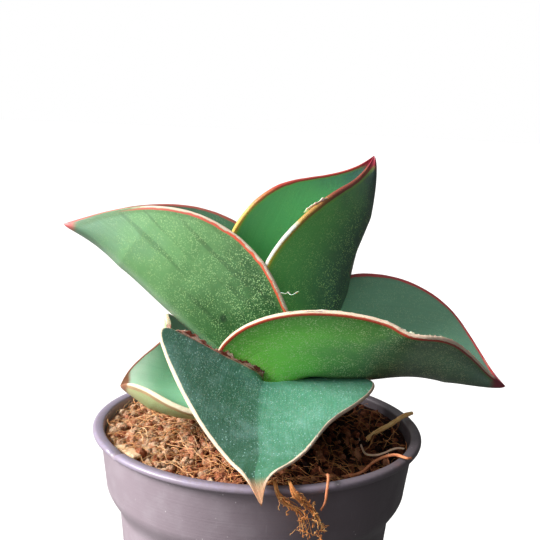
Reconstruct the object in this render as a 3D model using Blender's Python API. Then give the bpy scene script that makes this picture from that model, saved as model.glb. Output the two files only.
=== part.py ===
"""A young boat-leaved snake plant growing in a round plastic nursery pot.

The model stands with the middle of the pot's flat base at the origin and +Z up. Lengths are written in
millimetres and turned into metres when a mesh is made. The plant grows from a crown that sits above the
middle of the pot, and five channelled leaves nest in each other around it, the oldest outermost.
"""

import math
from dataclasses import dataclass

import bmesh
import bpy
import numpy as np

MM = 0.001

# Pot
RIM_DIAMETER = 90.0
POT_HEIGHT = 80.0
POT_WALL = 1.0
FLOOR_THICKNESS = 1.4
LIP_HEIGHT = 1.8
LIP_OVERHANG = 2.1
COLLAR_HEIGHT = 15.0
COLLAR_DRAFT = 7.0
WAIST_HEIGHT = 9.5
WAIST_STEP = 3.9
BODY_DRAFT = 6.0
FOOT_ROUND = 1.5
DRAIN_HOLE_DIAMETER = 7.0
DRAIN_HOLE_CIRCLE = 42.0
DRAIN_HOLES = 6
POT_SEGMENTS = 72

# Soil
SOIL_GAP = 0.3
SOIL_BELOW_RIM = 2.5
CROWN_MOUND = (3.0, 2.0, 7.0, 12.0)
RIGHT_HOLLOW = (30.0, -16.0, -7.0, 12.0)
FRONT_LEFT_DIP = (-18.0, -30.0, -1.5, 14.0)
SOIL_SEGMENTS = 60
SOIL_RINGS = 9

# Plant
CROWN = np.array((4.0, 0.0, POT_HEIGHT + 6.0))
NEST_GAP = 0.45
KEEL_THICKNESS = 5.0
MARGIN_THICKNESS = 1.4
TIP_THINNING = 0.25
BEND_STATIONS = (0.0, 0.15, 0.4, 0.7, 1.0)
VALLEY_EASE = 0.5
VALLEY_SPAN = 0.14
FINE_STEPS = 32
VALLEY_HOLD = 0.3
MARGIN_HOLD = 0.3
GUIDE_STATIONS = (0.0, 0.12, 0.25, 0.36, 0.48, 0.6, 0.75, 0.9, 0.96, 1.0)
TAPER_STATIONS = (0.0, 0.2, 0.45, 0.7, 0.88, 0.96, 1.0)
LONG_TAPER = (0.62, 0.93, 1.02, 0.8, 0.27, 0.07, 0.0)
FAR_TAPER = (0.2, 0.7, 1.02, 0.8, 0.27, 0.07, 0.0)
UPRIGHT_TAPER = (0.15, 0.55, 1.0, 0.8, 0.27, 0.07, 0.0)
CLASP_TAPER = (0.1, 0.82, 1.02, 0.8, 0.27, 0.07, 0.0)
LOW_TAPER = (0.57, 0.96, 0.96, 0.63, 0.3, 0.12, 0.0)
LOW_NEAR_TAPER = (0.1, 0.5, 0.84, 0.68, 0.34, 0.13, 0.0)
NECK_ROWS = 4
NECK_WIDTH = 0.45
LEAF_STATIONS = 26
WING_STRIPS = 5

# The stem under the soil: points along its middle, each with a radius
RHIZOME_PATH = ((-19.0, 9.0, -24.0), (-14.0, 7.0, -20.0), (-7.0, 4.5, -15.0), (0.0, 2.0, -10.0), (5.0, 0.5, -5.0))
RHIZOME_RADII = (2.5, 6.0, 6.8, 7.2, 6.0)
RHIZOME_SIDES = 16

# Loose roots and fibres
ROOT_SIDES = 6
REST_GAP = 0.3
RIM_DATUM = 45.0
CHIP_THICKNESS = 1.2


@dataclass(frozen=True)
class Root:
    """A loose root or fibre, by the points along its middle from the pot's axis and the rim's plane."""

    name: str
    radius: float
    colour: tuple
    path: tuple


ROOTS = (
    Root(
        "root_on_rim", 0.7, (0.42, 0.20, 0.07),
        (
            (27.5, 0.2, -6.5), (29.7, 0.9, -5), (33.3, 3.7, -3), (38.1, 5, -0.4), (41, 6.6, 1.1),
            (44.2, 9.2, 1.5),
        ),
    ),
    Root(
        "root_pale", 0.3, (0.62, 0.45, 0.28),
        (
            (28.6, 2.5, -4.2), (29, -5.7, -4.6), (30, -9.6, -4.4), (33.6, -11.7, -3), (37, -10.3, -2),
            (39, -12.6, -1),
        ),
    ),
    Root(
        "root_brown", 0.4, (0.30, 0.13, 0.06),
        (
            (21.7, -21.1, -6), (28, -18.2, -5.4), (30.1, -17.7, -3.5), (34.2, -19.5, -0.4), (36.4, -23.2, 1.1),
            (38.1, -25.3, 1.4), (39.1, -24.3, 1.1),
        ),
    ),
    Root(
        "root_hanging", 0.35, (0.38, 0.17, 0.07),
        (
            (16.3, -20, -4), (17.1, -34.2, -0.4), (17.2, -41.6, 1.4), (17, -42.9, 0.4), (16.9, -43.2, -0.9),
            (16.6, -42.9, -3.6), (15.8, -42.7, -5.4),
        ),
    ),
    Root(
        "coir_strand_long", 0.4, (0.45, 0.24, 0.10),
        (
            (3.2, -33.5, -4), (4.4, -40, 0), (4.8, -42.6, 1.2), (4.9, -45.2, 1.3), (5.3, -46, 0.1),
            (6.3, -45.8, -1.6),
            (8, -45.3, -3.4), (10.4, -44.8, -4.8), (11.9, -44.4, -7.3), (13.2, -43.4, -12.8),
        ),
    ),
    Root(
        "coir_strand_short", 0.35, (0.45, 0.24, 0.10),
        (
            (7.8, -35.3, -4), (8.1, -39.5, -0.4), (8.3, -42.4, 1.1), (8.5, -44.8, 1.2), (9.4, -45.9, -0.1),
            (11.6, -45.4, -2.2), (13.6, -44.9, -4.6), (15, -43.9, -7.4), (15.8, -43.2, -11),
        ),
    ),
)


@dataclass(frozen=True)
class Leaf:
    """One keeled leaf: a midrib that bends along its length, with a wing on its left and right.

    neck is where the leaf leaves the crown and foot where its blade's midrib starts, both from the crown
    point. heading and rise are the midrib's compass angle and its climb at the bend stations; roll and fold
    are read at the foot, the middle and the tip. roll turns the blade about its midrib, fold is how steeply
    each wing stands up, curl the extra turn across the wing, and width the wing's widest reach.
    """

    name: str
    colour: tuple
    neck: tuple
    foot: tuple
    length: float
    heading: tuple
    rise: tuple
    roll: tuple
    fold_left: tuple
    fold_right: tuple
    curl_left: float
    curl_right: float
    width_left: float
    width_right: float
    taper: tuple = LONG_TAPER
    taper_left: tuple = ()


@dataclass(frozen=True)
class SpreadLeaf:
    """The broad low leaf, drawn by the lines of its midrib and its two margins, from the crown point."""

    name: str
    colour: tuple
    left: tuple
    midrib: tuple
    right: tuple


# From the youngest, in the middle of the crown, to the oldest, low at the front.
LEAVES = (
    Leaf(
        "leaf_upright", (0.06, 0.30, 0.08), neck=(3, 3, -7), foot=(6, 6.5, 2), length=70.5,
        heading=(11, 27, 23, 46, 33), rise=(72, 65, 80, 63, 77), roll=(7, -2, -2),
        fold_left=(75, 81, 63), fold_right=(75, 80, 68), curl_left=31, curl_right=-39,
        width_left=32, width_right=26, taper=UPRIGHT_TAPER,
    ),
    Leaf(
        "leaf_left", (0.10, 0.30, 0.11), neck=(1, 2, -8), foot=(1.5, 4, -1), length=79.5,
        heading=(181, 174, 175, 177, 190), rise=(73, 45, 37, 39, 5), roll=(-10, 0, 9),
        fold_left=(63, 74, 57), fold_right=(35, 72, 57), curl_left=2, curl_right=23,
        width_left=27.5, width_right=27.5, taper_left=CLASP_TAPER,
    ),
    Leaf(
        "leaf_right", (0.07, 0.24, 0.06), neck=(4, -3, -8), foot=(3, -2, 7), length=66.5,
        heading=(-31, 3, 16, -4, -17), rise=(95, 7, 3, -9, -16), roll=(7, 13, -4),
        fold_left=(67, 42, 36), fold_right=(65, 43, 39), curl_left=14, curl_right=-9,
        width_left=26, width_right=30.5, taper_left=FAR_TAPER,
    ),
    Leaf(
        "leaf_low_left", (0.20, 0.42, 0.26), neck=(-4, 0, -7), foot=(-9.5, 2, -1.5), length=35.5,
        heading=(161, 208, 211, 193, 185), rise=(34, 28, 1, 13, -8), roll=(19, -8, -1),
        fold_left=(11, 13, 32), fold_right=(34, 38, 41), curl_left=25, curl_right=16,
        width_left=24.5, width_right=26.5, taper=LOW_TAPER, taper_left=LOW_NEAR_TAPER,
    ),
    SpreadLeaf(
        "leaf_front", (0.06, 0.25, 0.17),
        left=(
            (-6, -5, -9), (-5, -7, 1), (-3.5, -9.5, 10.5), (-14, -12, 16.5), (-28.3, -15, 23.5),
            (-27, -21, 17.5), (-18.5, -33.5, 7.5), (-9, -43, -0.8), (-5.3, -47.5, -3), (-2, -49.8, -8),
        ),
        midrib=(
            (-2, -7, -10), (-2.2, -10, 0), (-2.6, -12.8, 9.2), (-2.9, -15, 9.7), (-3.1, -17.2, 8.3),
            (-3.4, -23, 6), (-3.5, -32.4, 2.7), (-3.4, -41.8, -0.8), (-3.7, -47.3, -3.4), (-2, -49.8, -8),
        ),
        right=(
            (2, -3, -9), (3, -2, 1), (5, -1, 6.8), (15, 0, 8.6), (25.7, -7, 9.6),
            (22.3, -16, 7.2), (13, -27, 4), (4, -41.5, -0.6), (-1, -46.9, -3), (-2, -49.8, -8),
        ),
    ),
)


def remove_everything():
    """Empties the scene."""
    for old in list(bpy.data.objects):
        bpy.data.objects.remove(old, do_unlink=True)


def material(name, colour, roughness):
    """A plain, non-metallic finish."""
    finish = bpy.data.materials.new(name)
    finish.use_nodes = True
    shader = finish.node_tree.nodes["Principled BSDF"]
    shader.inputs["Base Color"].default_value = (*colour, 1.0)
    shader.inputs["Roughness"].default_value = roughness
    shader.inputs["Metallic"].default_value = 0.0
    return finish


def add_object(name, data, finish=None):
    """Puts a mesh or curve into the scene under a name."""
    item = bpy.data.objects.new(name, data)
    bpy.context.collection.objects.link(item)
    if finish:
        data.materials.append(finish)
    return item


def finished_mesh(name, shape, sharp_angle=35.0):
    """Turns a bmesh in millimetres into a smooth-shaded mesh in metres with its faces pointing out."""
    bmesh.ops.recalc_face_normals(shape, faces=shape.faces)
    bmesh.ops.scale(shape, vec=(MM, MM, MM), verts=shape.verts)
    mesh = bpy.data.meshes.new(name)
    shape.to_mesh(mesh)
    shape.free()
    mesh.shade_smooth()
    mesh.set_sharp_from_angle(angle=math.radians(sharp_angle))
    return mesh


def smooth_curve(knots, values, at):
    """A natural cubic spline through the values at the knots, read at other places."""
    knots, values, at = (np.asarray(each, float) for each in (knots, values, at))
    gap = np.diff(knots)
    slope = np.diff(values) / gap
    system = np.eye(len(knots))
    bend = np.zeros(len(knots))
    for i in range(1, len(knots) - 1):
        system[i, i - 1 : i + 2] = gap[i - 1], 2 * (gap[i - 1] + gap[i]), gap[i]
        bend[i] = 6 * (slope[i] - slope[i - 1])
    second = np.linalg.solve(system, bend)
    i = np.clip(np.searchsorted(knots, at) - 1, 0, len(knots) - 2)
    back, ahead = at - knots[i], knots[i + 1] - at
    curved = (second[i] * ahead**3 + second[i + 1] * back**3) / (6 * gap[i])
    from_left = (values[i] / gap[i] - second[i] * gap[i] / 6) * ahead
    from_right = (values[i + 1] / gap[i] - second[i + 1] * gap[i] / 6) * back
    return curved + from_left + from_right


def along(values, at, stations=None):
    """Reads values that are spread evenly from 0 to 1, or stand at the stations given."""
    return smooth_curve(stations or np.linspace(0, 1, len(values)), values, at)


# The pot's wall, as a radius at each height


def lip_radius():
    """The outside of the rolled lip."""
    return RIM_DIAMETER / 2


def collar_radius(depth):
    """The collar's outside, at a depth below the rim."""
    return lip_radius() - LIP_OVERHANG - math.tan(math.radians(COLLAR_DRAFT)) * (depth - LIP_HEIGHT)


def outer_radius(depth):
    """The pot's outside below the lip: collar, waist and body."""
    waist_end = COLLAR_HEIGHT + WAIST_HEIGHT
    if depth <= COLLAR_HEIGHT:
        return collar_radius(depth)
    if depth <= waist_end:
        share = (depth - COLLAR_HEIGHT) / WAIST_HEIGHT
        return collar_radius(COLLAR_HEIGHT) - WAIST_STEP * (1 - math.cos(math.pi * share)) / 2
    body_top = collar_radius(COLLAR_HEIGHT) - WAIST_STEP
    return body_top - math.tan(math.radians(BODY_DRAFT)) * (depth - waist_end)


def inner_radius(depth):
    """The pot's inside, one wall in from its outside."""
    return outer_radius(depth) - POT_WALL


def wall_depths():
    """Depths that follow the wall's curves, from under the lip to the top of the floor."""
    waist = [COLLAR_HEIGHT + WAIST_HEIGHT * share for share in (0, 0.2, 0.35, 0.5, 0.65, 0.8, 1)]
    below = POT_HEIGHT - COLLAR_HEIGHT - WAIST_HEIGHT - FLOOR_THICKNESS
    return [LIP_HEIGHT, *waist, COLLAR_HEIGHT + WAIST_HEIGHT + below / 2, POT_HEIGHT - FLOOR_THICKNESS]


def arc(middle_r, middle_z, radius, start, end, steps=4):
    """Points of an arc in the lathe's plane, its angles in degrees."""
    turns = [math.radians(start + (end - start) * step / steps) for step in range(steps + 1)]
    return [(middle_r + radius * math.cos(turn), middle_z + radius * math.sin(turn)) for turn in turns]


def pot_profile():
    """The half section of the pot, from the middle of the base round the outside to the middle inside."""
    foot_radius = outer_radius(POT_HEIGHT)
    foot = arc(foot_radius - FOOT_ROUND, FOOT_ROUND, FOOT_ROUND, -90, 0)
    outside = [(outer_radius(depth), POT_HEIGHT - depth) for depth in reversed(wall_depths()[:-1])]
    half_lip = LIP_HEIGHT / 2
    lip = arc(lip_radius() - half_lip, POT_HEIGHT - half_lip, half_lip, -90, 90, 6)
    lip_inside = (inner_radius(LIP_HEIGHT) + POT_WALL / 2, POT_HEIGHT)
    inside = [(inner_radius(depth), POT_HEIGHT - depth) for depth in wall_depths()]
    return [(0, 0), *foot, *outside, *lip, lip_inside, *inside, (0, FLOOR_THICKNESS)]


def spun(profile, segments):
    """Turns a half section about +Z into a closed body."""
    shape = bmesh.new()
    points = [shape.verts.new((radius, 0, height)) for radius, height in profile]
    edges = [shape.edges.new(pair) for pair in zip(points, points[1:])]
    bmesh.ops.spin(
        shape, geom=[*points, *edges], cent=(0, 0, 0), axis=(0, 0, 1), angle=math.tau,
        steps=segments, use_merge=True, use_duplicate=False,
    )
    bmesh.ops.remove_doubles(shape, verts=shape.verts, dist=0.001)
    return shape


def cutter(name, mesh):
    """A body that only cuts others, and isn't part of the object."""
    item = add_object(name, mesh)
    item.hide_render = True
    item.display_type = "WIRE"
    return item


def cut(target, tool, solver="EXACT"):
    """Cuts the tool's shape out of the target."""
    step = target.modifiers.new(tool.name, "BOOLEAN")
    step.operation = "DIFFERENCE"
    step.solver = solver
    step.object = tool


def make_pot():
    """The pot: a thin drafted wall with a rolled lip, a collar, a stepped waist and a drained base."""
    finish = material("pot_plastic", (0.05, 0.048, 0.055), 0.45)
    pot = add_object("pot", finished_mesh("pot", spun(pot_profile(), POT_SEGMENTS)), finish)
    for number in range(DRAIN_HOLES):
        turn = math.tau * number / DRAIN_HOLES
        hole = bmesh.new()
        bmesh.ops.create_cone(
            hole, cap_ends=True, segments=20, radius1=DRAIN_HOLE_DIAMETER / 2, radius2=DRAIN_HOLE_DIAMETER / 2,
            depth=FLOOR_THICKNESS * 3,
        )
        across = DRAIN_HOLE_CIRCLE / 2
        bmesh.ops.translate(
            hole, vec=(across * math.cos(turn), across * math.sin(turn), FLOOR_THICKNESS / 2), verts=hole.verts
        )
        name = f"drain_cutter_{number + 1}"
        cut(pot, cutter(name, finished_mesh(name, hole)))
    return pot


# Soil


def soil_height(x, y):
    """The soil's surface above the pot's base, with its mound and hollows."""
    height = POT_HEIGHT - SOIL_BELOW_RIM
    for middle_x, middle_y, rise, spread in (CROWN_MOUND, RIGHT_HOLLOW, FRONT_LEFT_DIP):
        away = (x - middle_x) ** 2 + (y - middle_y) ** 2
        height += rise * math.exp(-away / (2 * spread**2))
    return height


def ring(shape, radius_at, height_at, segments):
    """A closed ring of points whose radius and height can change with the angle."""
    points = []
    for step in range(segments):
        turn = math.tau * step / segments
        radius = radius_at(turn)
        x, y = radius * math.cos(turn), radius * math.sin(turn)
        points.append(shape.verts.new((x, y, height_at(x, y))))
    return points


def join_rings(shape, rings, closed=True):
    """Faces between each ring and the next."""
    count = len(rings[0])
    for low, high in zip(rings, rings[1:]):
        for i in range(count if closed else count - 1):
            j = (i + 1) % count
            shape.faces.new((low[i], low[j], high[j], high[i]))


def fan(shape, points, tip):
    """Faces from a ring to one point."""
    for i, point in enumerate(points):
        shape.faces.new((point, points[(i + 1) % len(points)], tip))


def make_soil():
    """The root ball: it fills the pot to just below the rim, a gap away from the plastic."""
    shape = bmesh.new()
    bottom = FLOOR_THICKNESS + SOIL_GAP
    rings = []
    for depth in reversed(wall_depths()[1:]):
        height = max(POT_HEIGHT - depth, bottom)
        radius = inner_radius(POT_HEIGHT - height) - SOIL_GAP
        rings.append(ring(shape, lambda turn, r=radius: r, lambda x, y, h=height: h, SOIL_SEGMENTS))

    def edge_radius(turn):
        radius = inner_radius(LIP_HEIGHT)
        edge_depth = POT_HEIGHT - soil_height(radius * math.cos(turn), radius * math.sin(turn))
        return inner_radius(max(edge_depth, LIP_HEIGHT)) - SOIL_GAP

    for number in range(SOIL_RINGS, 0, -1):
        share = number / SOIL_RINGS
        rings.append(ring(shape, lambda turn, s=share: s * edge_radius(turn), soil_height, SOIL_SEGMENTS))
    join_rings(shape, rings)
    fan(shape, rings[0], shape.verts.new((0, 0, bottom)))
    fan(shape, rings[-1], shape.verts.new((0, 0, soil_height(0, 0))))
    finish = material("soil_coir", (0.16, 0.075, 0.035), 0.95)
    return add_object("soil", finished_mesh("soil", shape), finish)


# Leaves


def wing_section(fold, curl, strips):
    """A wing of unit width at each station, from midrib to margin, as shares along the blade's side and up.

    It leaves the midrib flatter than its fold, so that the channel between the wings is round.
    """
    across = np.linspace(0, 1, FINE_STEPS + 1)
    eased = 1 - VALLEY_EASE * np.exp(-((across / VALLEY_SPAN) ** 2))
    angle = fold[:, None] * eased + curl * (across - 0.5)
    toward = np.stack([np.cos(angle), np.sin(angle)], -1)
    path = np.cumsum((toward[:, 1:] + toward[:, :-1]) / 2 / FINE_STEPS, 1)
    path = np.concatenate([np.zeros((len(fold), 1, 2)), path], 1)
    return path[:, np.round(np.linspace(0, FINE_STEPS, strips)).astype(int)]


def blade(leaf, stations, strips):
    """The leaf's upper surface: its midrib, and rows of points from the right margin to the left one."""
    at = np.linspace(0, 1, stations)
    heading, rise = (np.radians(along(each, at, BEND_STATIONS)) for each in (leaf.heading, leaf.rise))
    roll = np.radians(along(leaf.roll, at))
    ahead = np.stack([np.cos(rise) * np.cos(heading), np.cos(rise) * np.sin(heading), np.sin(rise)], -1)
    steps = (ahead[1:] + ahead[:-1]) / 2 * leaf.length / (stations - 1)
    midrib = CROWN + np.array(leaf.foot) + np.concatenate([np.zeros((1, 3)), np.cumsum(steps, 0)])
    level = np.stack([-np.sin(heading), np.cos(heading), 0 * heading], -1)
    square = np.cross(ahead, level)
    turn = roll[:, None]
    side = np.cos(turn) * level + np.sin(turn) * square
    up = np.cos(turn) * square - np.sin(turn) * level
    wings = []
    for sign, fold, curl, width, shares in (
        (-1, leaf.fold_right, leaf.curl_right, leaf.width_right, leaf.taper),
        (1, leaf.fold_left, leaf.curl_left, leaf.width_left, leaf.taper_left or leaf.taper),
    ):
        reach = width * np.clip(smooth_curve(TAPER_STATIONS, shares, at), 0, None)
        wing = wing_section(np.radians(along(fold, at)), math.radians(curl), strips) * reach[:, None, None]
        wings.append(midrib[:, None] + sign * wing[..., :1] * side[:, None] + wing[..., 1:] * up[:, None])
    right, left = wings
    return with_neck(leaf, ahead[0], np.concatenate([right[:, ::-1], left[:, 1:]], 1))


def with_neck(leaf, ahead, top):
    """Puts a narrowing neck before the blade, from the crown up to the blade's first row."""
    share = np.linspace(0, 1, NECK_ROWS + 1)[:-1, None]
    low = CROWN + np.array(leaf.neck)
    high = CROWN + np.array(leaf.foot)
    bend = high - ahead * np.linalg.norm(high - low) * 0.5
    path = (1 - share) ** 2 * low + 2 * share * (1 - share) * bend + share**2 * high
    size = (NECK_WIDTH + (1 - NECK_WIDTH) * share**0.7)[..., None]
    return np.concatenate([path[:, None] + (top[0] - high) * size, top])


def spread_blade(leaf, stations, strips):
    """The broad leaf's upper surface: each wing curves from a level valley up to its margin."""
    at = np.linspace(0, 1, stations)
    left, midrib, right = (
        CROWN + np.stack([smooth_curve(GUIDE_STATIONS, values, at) for values in zip(*line)], -1)
        for line in (leaf.left, leaf.midrib, leaf.right)
    )
    across = (left - right) / (np.linalg.norm(left - right, axis=-1, keepdims=True) + 1e-9)
    share = np.linspace(0, 1, strips)[None, :, None]
    wings = []
    for sign, margin in ((-1, right), (1, left)):
        reach = np.linalg.norm(margin - midrib, axis=-1, keepdims=True)
        near = (midrib + sign * across * reach * VALLEY_HOLD)[:, None]
        far = (margin + (midrib - margin) * MARGIN_HOLD)[:, None]
        start, end = midrib[:, None], margin[:, None]
        wing = (1 - share) ** 3 * start + 3 * share * (1 - share) ** 2 * near
        wings.append(wing + 3 * share**2 * (1 - share) * far + share**3 * end)
    return np.concatenate([wings[1][:, ::-1], wings[0][:, 1:]], 1)


def leaf_shape(leaf):
    """The leaf as a closed body, thick along the keel and thin at the margins and the tip."""
    strips = WING_STRIPS
    if isinstance(leaf, SpreadLeaf):
        top = spread_blade(leaf, LEAF_STATIONS + NECK_ROWS, strips)
    else:
        top = blade(leaf, LEAF_STATIONS, strips)
    normal = np.cross(np.gradient(top, axis=0), np.gradient(top, axis=1))
    normal /= np.linalg.norm(normal, axis=-1, keepdims=True) + 1e-9
    from_keel = np.abs(np.linspace(-1, 1, 2 * strips - 1))
    thin = np.clip((1 - np.linspace(0, 1, LEAF_STATIONS)) / TIP_THINNING, 0, 1) ** 0.6
    thin = np.concatenate([np.linspace(NECK_WIDTH, 1, NECK_ROWS + 1)[:-1], thin])
    thickness = MARGIN_THICKNESS + (KEEL_THICKNESS - MARGIN_THICKNESS) * (1 - from_keel**1.3)
    under = top - normal * (thickness * thin[:, None])[..., None]
    shape = bmesh.new()
    rings = []
    for row in range(len(top) - 1):
        rings.append([shape.verts.new(point) for point in (*top[row], *under[row, ::-1])])
    join_rings(shape, rings)
    last = len(rings[0]) - 1
    for i in range(2 * strips - 2):
        shape.faces.new((rings[0][i], rings[0][i + 1], rings[0][last - i - 1], rings[0][last - i]))
    fan(shape, rings[-1], shape.verts.new(top[-1, strips - 1]))
    return shape


def swollen(shape, gap):
    """Moves every face of a closed body out by a gap."""
    bmesh.ops.recalc_face_normals(shape, faces=shape.faces)
    shape.normal_update()
    moves = [(point, point.normal * gap * min(point.calc_shell_factor(), 2.0)) for point in shape.verts]
    for point, move in moves:
        point.co += move
    return shape


def bake(item):
    """Keeps the result of the object's modifiers as its mesh, and only the largest body of it."""
    evaluated = item.evaluated_get(bpy.context.evaluated_depsgraph_get())
    mesh = bpy.data.meshes.new_from_object(evaluated)
    item.modifiers.clear()
    item.data = mesh
    shape = bmesh.new()
    shape.from_mesh(mesh)
    bmesh.ops.remove_doubles(shape, verts=shape.verts, dist=0.000003)
    if not all(edge.is_manifold for edge in shape.edges):
        # The weld joined a thin wall across, so the mesh stays as it was cut.
        shape.clear()
        shape.from_mesh(mesh)
    left = set(shape.verts)
    bodies = []
    while left:
        body, edge = set(), [left.pop()]
        while edge:
            point = edge.pop()
            body.add(point)
            found = {link.other_vert(point) for link in point.link_edges} & left
            left -= found
            edge.extend(found)
        bodies.append(body)
    bodies.sort(key=len)
    for body in bodies[:-1]:
        bmesh.ops.delete(shape, geom=list(body), context="VERTS")
    shape.to_mesh(mesh)
    shape.free()


def make_leaves(ground):
    """The leaves, each cut back from the younger ones inside it, with the soil cut back from them all."""
    tools = []
    for leaf in LEAVES:
        finish = material(leaf.name + "_skin", leaf.colour, 0.4)
        item = add_object(leaf.name, finished_mesh(leaf.name, leaf_shape(leaf)), finish)
        for tool in tools:
            cut(item, tool, "MANIFOLD")
        bake(item)
        name = leaf.name + "_space"
        tool = cutter(name, finished_mesh(name, swollen(leaf_shape(leaf), NEST_GAP)))
        cut(ground, tool, "MANIFOLD")
        tools.append(tool)
    return tools


# Stem, roots and bark


def tube(points, radii, sides):
    """A round closed body along a smooth line, narrowing to a point at each end."""
    knots = np.linspace(0, 1, len(points))
    at = np.linspace(0, 1, 3 * len(points) - 2)
    middle = np.stack([smooth_curve(knots, values, at) for values in zip(*points)], -1)
    radius = smooth_curve(knots, radii, at)
    ahead = np.gradient(middle, axis=0)
    ahead /= np.linalg.norm(ahead, axis=-1, keepdims=True)
    side = np.cross(ahead, (0.36, 0.48, 0.8))
    side /= np.linalg.norm(side, axis=-1, keepdims=True)
    up = np.cross(side, ahead)
    shape = bmesh.new()
    rings = []
    for spot, across, above, reach in zip(middle, side, up, radius):
        around = []
        for step in range(sides):
            turn = math.tau * step / sides
            around.append(shape.verts.new(spot + reach * (across * math.cos(turn) + above * math.sin(turn))))
        rings.append(around)
    join_rings(shape, rings)
    fan(shape, rings[0], shape.verts.new(middle[0] - ahead[0] * radius[0] * 0.6))
    fan(shape, rings[-1], shape.verts.new(middle[-1] + ahead[-1] * radius[-1] * 0.6))
    return shape


def out_to_rim(x, y):
    """A place drawn for a rim of the datum's radius, moved out or in along with the real rim."""
    share = 1 + (RIM_DIAMETER / 2 - RIM_DATUM) / RIM_DATUM
    return x * share, y * share


def bed(ground, name, shape):
    """Hollows the soil out around a body, with a gap, and gives back the body that cuts."""
    name += "_bed"
    tool = cutter(name, finished_mesh(name, swollen(shape, REST_GAP)))
    cut(ground, tool, "MANIFOLD")
    return tool


def make_rhizome(ground, leaf_spaces):
    """The thick short stem that creeps under the soil and carries the crown."""
    finish = material("rhizome_skin", (0.45, 0.26, 0.10), 0.7)
    path = [(x, y, POT_HEIGHT + z) for x, y, z in RHIZOME_PATH]
    shape = tube(path, RHIZOME_RADII, RHIZOME_SIDES)
    rhizome = add_object("rhizome", finished_mesh("rhizome", shape), finish)
    for space in leaf_spaces:
        cut(rhizome, space, "MANIFOLD")
    bed(ground, "rhizome", tube(path, RHIZOME_RADII, RHIZOME_SIDES))


def make_roots(ground):
    """The loose roots and fibres that lie on the soil and hang over the rim."""
    for root in ROOTS:
        path = [(*out_to_rim(x, y), POT_HEIGHT + z) for x, y, z in root.path]
        radii = [root.radius * (1 - 0.45 * step / len(path)) for step in range(len(path))]
        finish = material(root.name + "_fibre", root.colour, 0.8)
        add_object(root.name, finished_mesh(root.name, tube(path, radii, ROOT_SIDES), 80), finish)
        bed(ground, root.name, tube(path, radii, ROOT_SIDES))


def chip_shape():
    """A flat splinter of bark with seven corners."""
    corners = (
        (-36.5, -18.5), (-34, -17.3), (-30.8, -20.6), (-28.9, -24.4),
        (-30.6, -25.6), (-33.4, -23), (-36.4, -20.6),
    )
    seats = []
    for x, y in corners:
        x, y = out_to_rim(x, y)
        depth = POT_HEIGHT - soil_height(x, y)
        limit = min(inner_radius(max(depth - CHIP_THICKNESS, LIP_HEIGHT)), inner_radius(max(depth, LIP_HEIGHT)))
        share = min(1, (limit - REST_GAP) / math.hypot(x, y))
        seats.append((x * share, y * share))
    shape = bmesh.new()
    rings = []
    for lift in (0, CHIP_THICKNESS):
        rings.append([shape.verts.new((x, y, soil_height(x, y) + lift)) for x, y in seats])
    join_rings(shape, rings)
    shape.faces.new(rings[0])
    shape.faces.new(rings[1])
    return shape


def make_chip(ground):
    """A pale splinter of bark that lies on the soil."""
    finish = material("bark_pale", (0.66, 0.52, 0.36), 0.85)
    add_object("bark_chip", finished_mesh("bark_chip", chip_shape()), finish)
    bed(ground, "bark_chip", chip_shape())


def main():
    remove_everything()
    make_pot()
    ground = make_soil()
    leaf_spaces = make_leaves(ground)
    make_rhizome(ground, leaf_spaces)
    make_roots(ground)
    make_chip(ground)
    bake(ground)


main()
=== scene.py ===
"""The detailed look of a potted dwarf snake plant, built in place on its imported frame.

Five keeled leaves stand in a thin nursery pot of coir, with loose roots and coir over
the rim. Sizes in the classes are millimetres from the middle of the pot's underside,
with +X to the right, +Y to the back and +Z up. Meshes are written in metres.
"""

import logging
import math
from dataclasses import dataclass
from enum import Enum
from typing import Any, Iterable, Sequence

import bmesh
import bpy
import numpy as np
from mathutils import Matrix, Vector, noise


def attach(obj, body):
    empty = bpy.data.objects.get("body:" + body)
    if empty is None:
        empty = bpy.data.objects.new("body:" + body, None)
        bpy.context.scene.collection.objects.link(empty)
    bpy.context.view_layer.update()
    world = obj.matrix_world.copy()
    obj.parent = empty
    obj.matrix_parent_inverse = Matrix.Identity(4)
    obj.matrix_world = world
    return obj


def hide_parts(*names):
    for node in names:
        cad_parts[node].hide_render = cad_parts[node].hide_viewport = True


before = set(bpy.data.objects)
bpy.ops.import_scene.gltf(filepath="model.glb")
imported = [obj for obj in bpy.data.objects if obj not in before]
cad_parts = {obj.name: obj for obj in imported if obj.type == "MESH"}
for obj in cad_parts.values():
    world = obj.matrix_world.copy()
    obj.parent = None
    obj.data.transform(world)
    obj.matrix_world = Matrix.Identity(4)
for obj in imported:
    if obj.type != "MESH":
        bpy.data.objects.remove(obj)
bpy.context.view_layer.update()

LOG = logging.getLogger("snake_plant")

MILLIMETRE = 0.001
POT_HEIGHT = 80.0
CROWN = np.array([4.0, 0.0, POT_HEIGHT + 6.0])

Colour = tuple[float, float, float, float]
Triple = tuple[float, float, float]

WHITE: Colour = (1.0, 1.0, 1.0, 1.0)


def tint(red: int, green: int, blue: int) -> Colour:
    """Turns a display colour, 0 to 255 a channel, into the linear colour that shaders use.

    Args:
        red: Red level.
        green: Green level.
        blue: Blue level.

    Returns:
        The linear colour, with full alpha.
    """

    def linear(level: int) -> float:
        share = level / 255
        return share / 12.92 if share <= 0.04045 else ((share + 0.055) / 1.055) ** 2.4

    return linear(red), linear(green), linear(blue), 1.0


# --------------------------------------------------------------------------------------
# Shader arithmetic
# --------------------------------------------------------------------------------------


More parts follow.
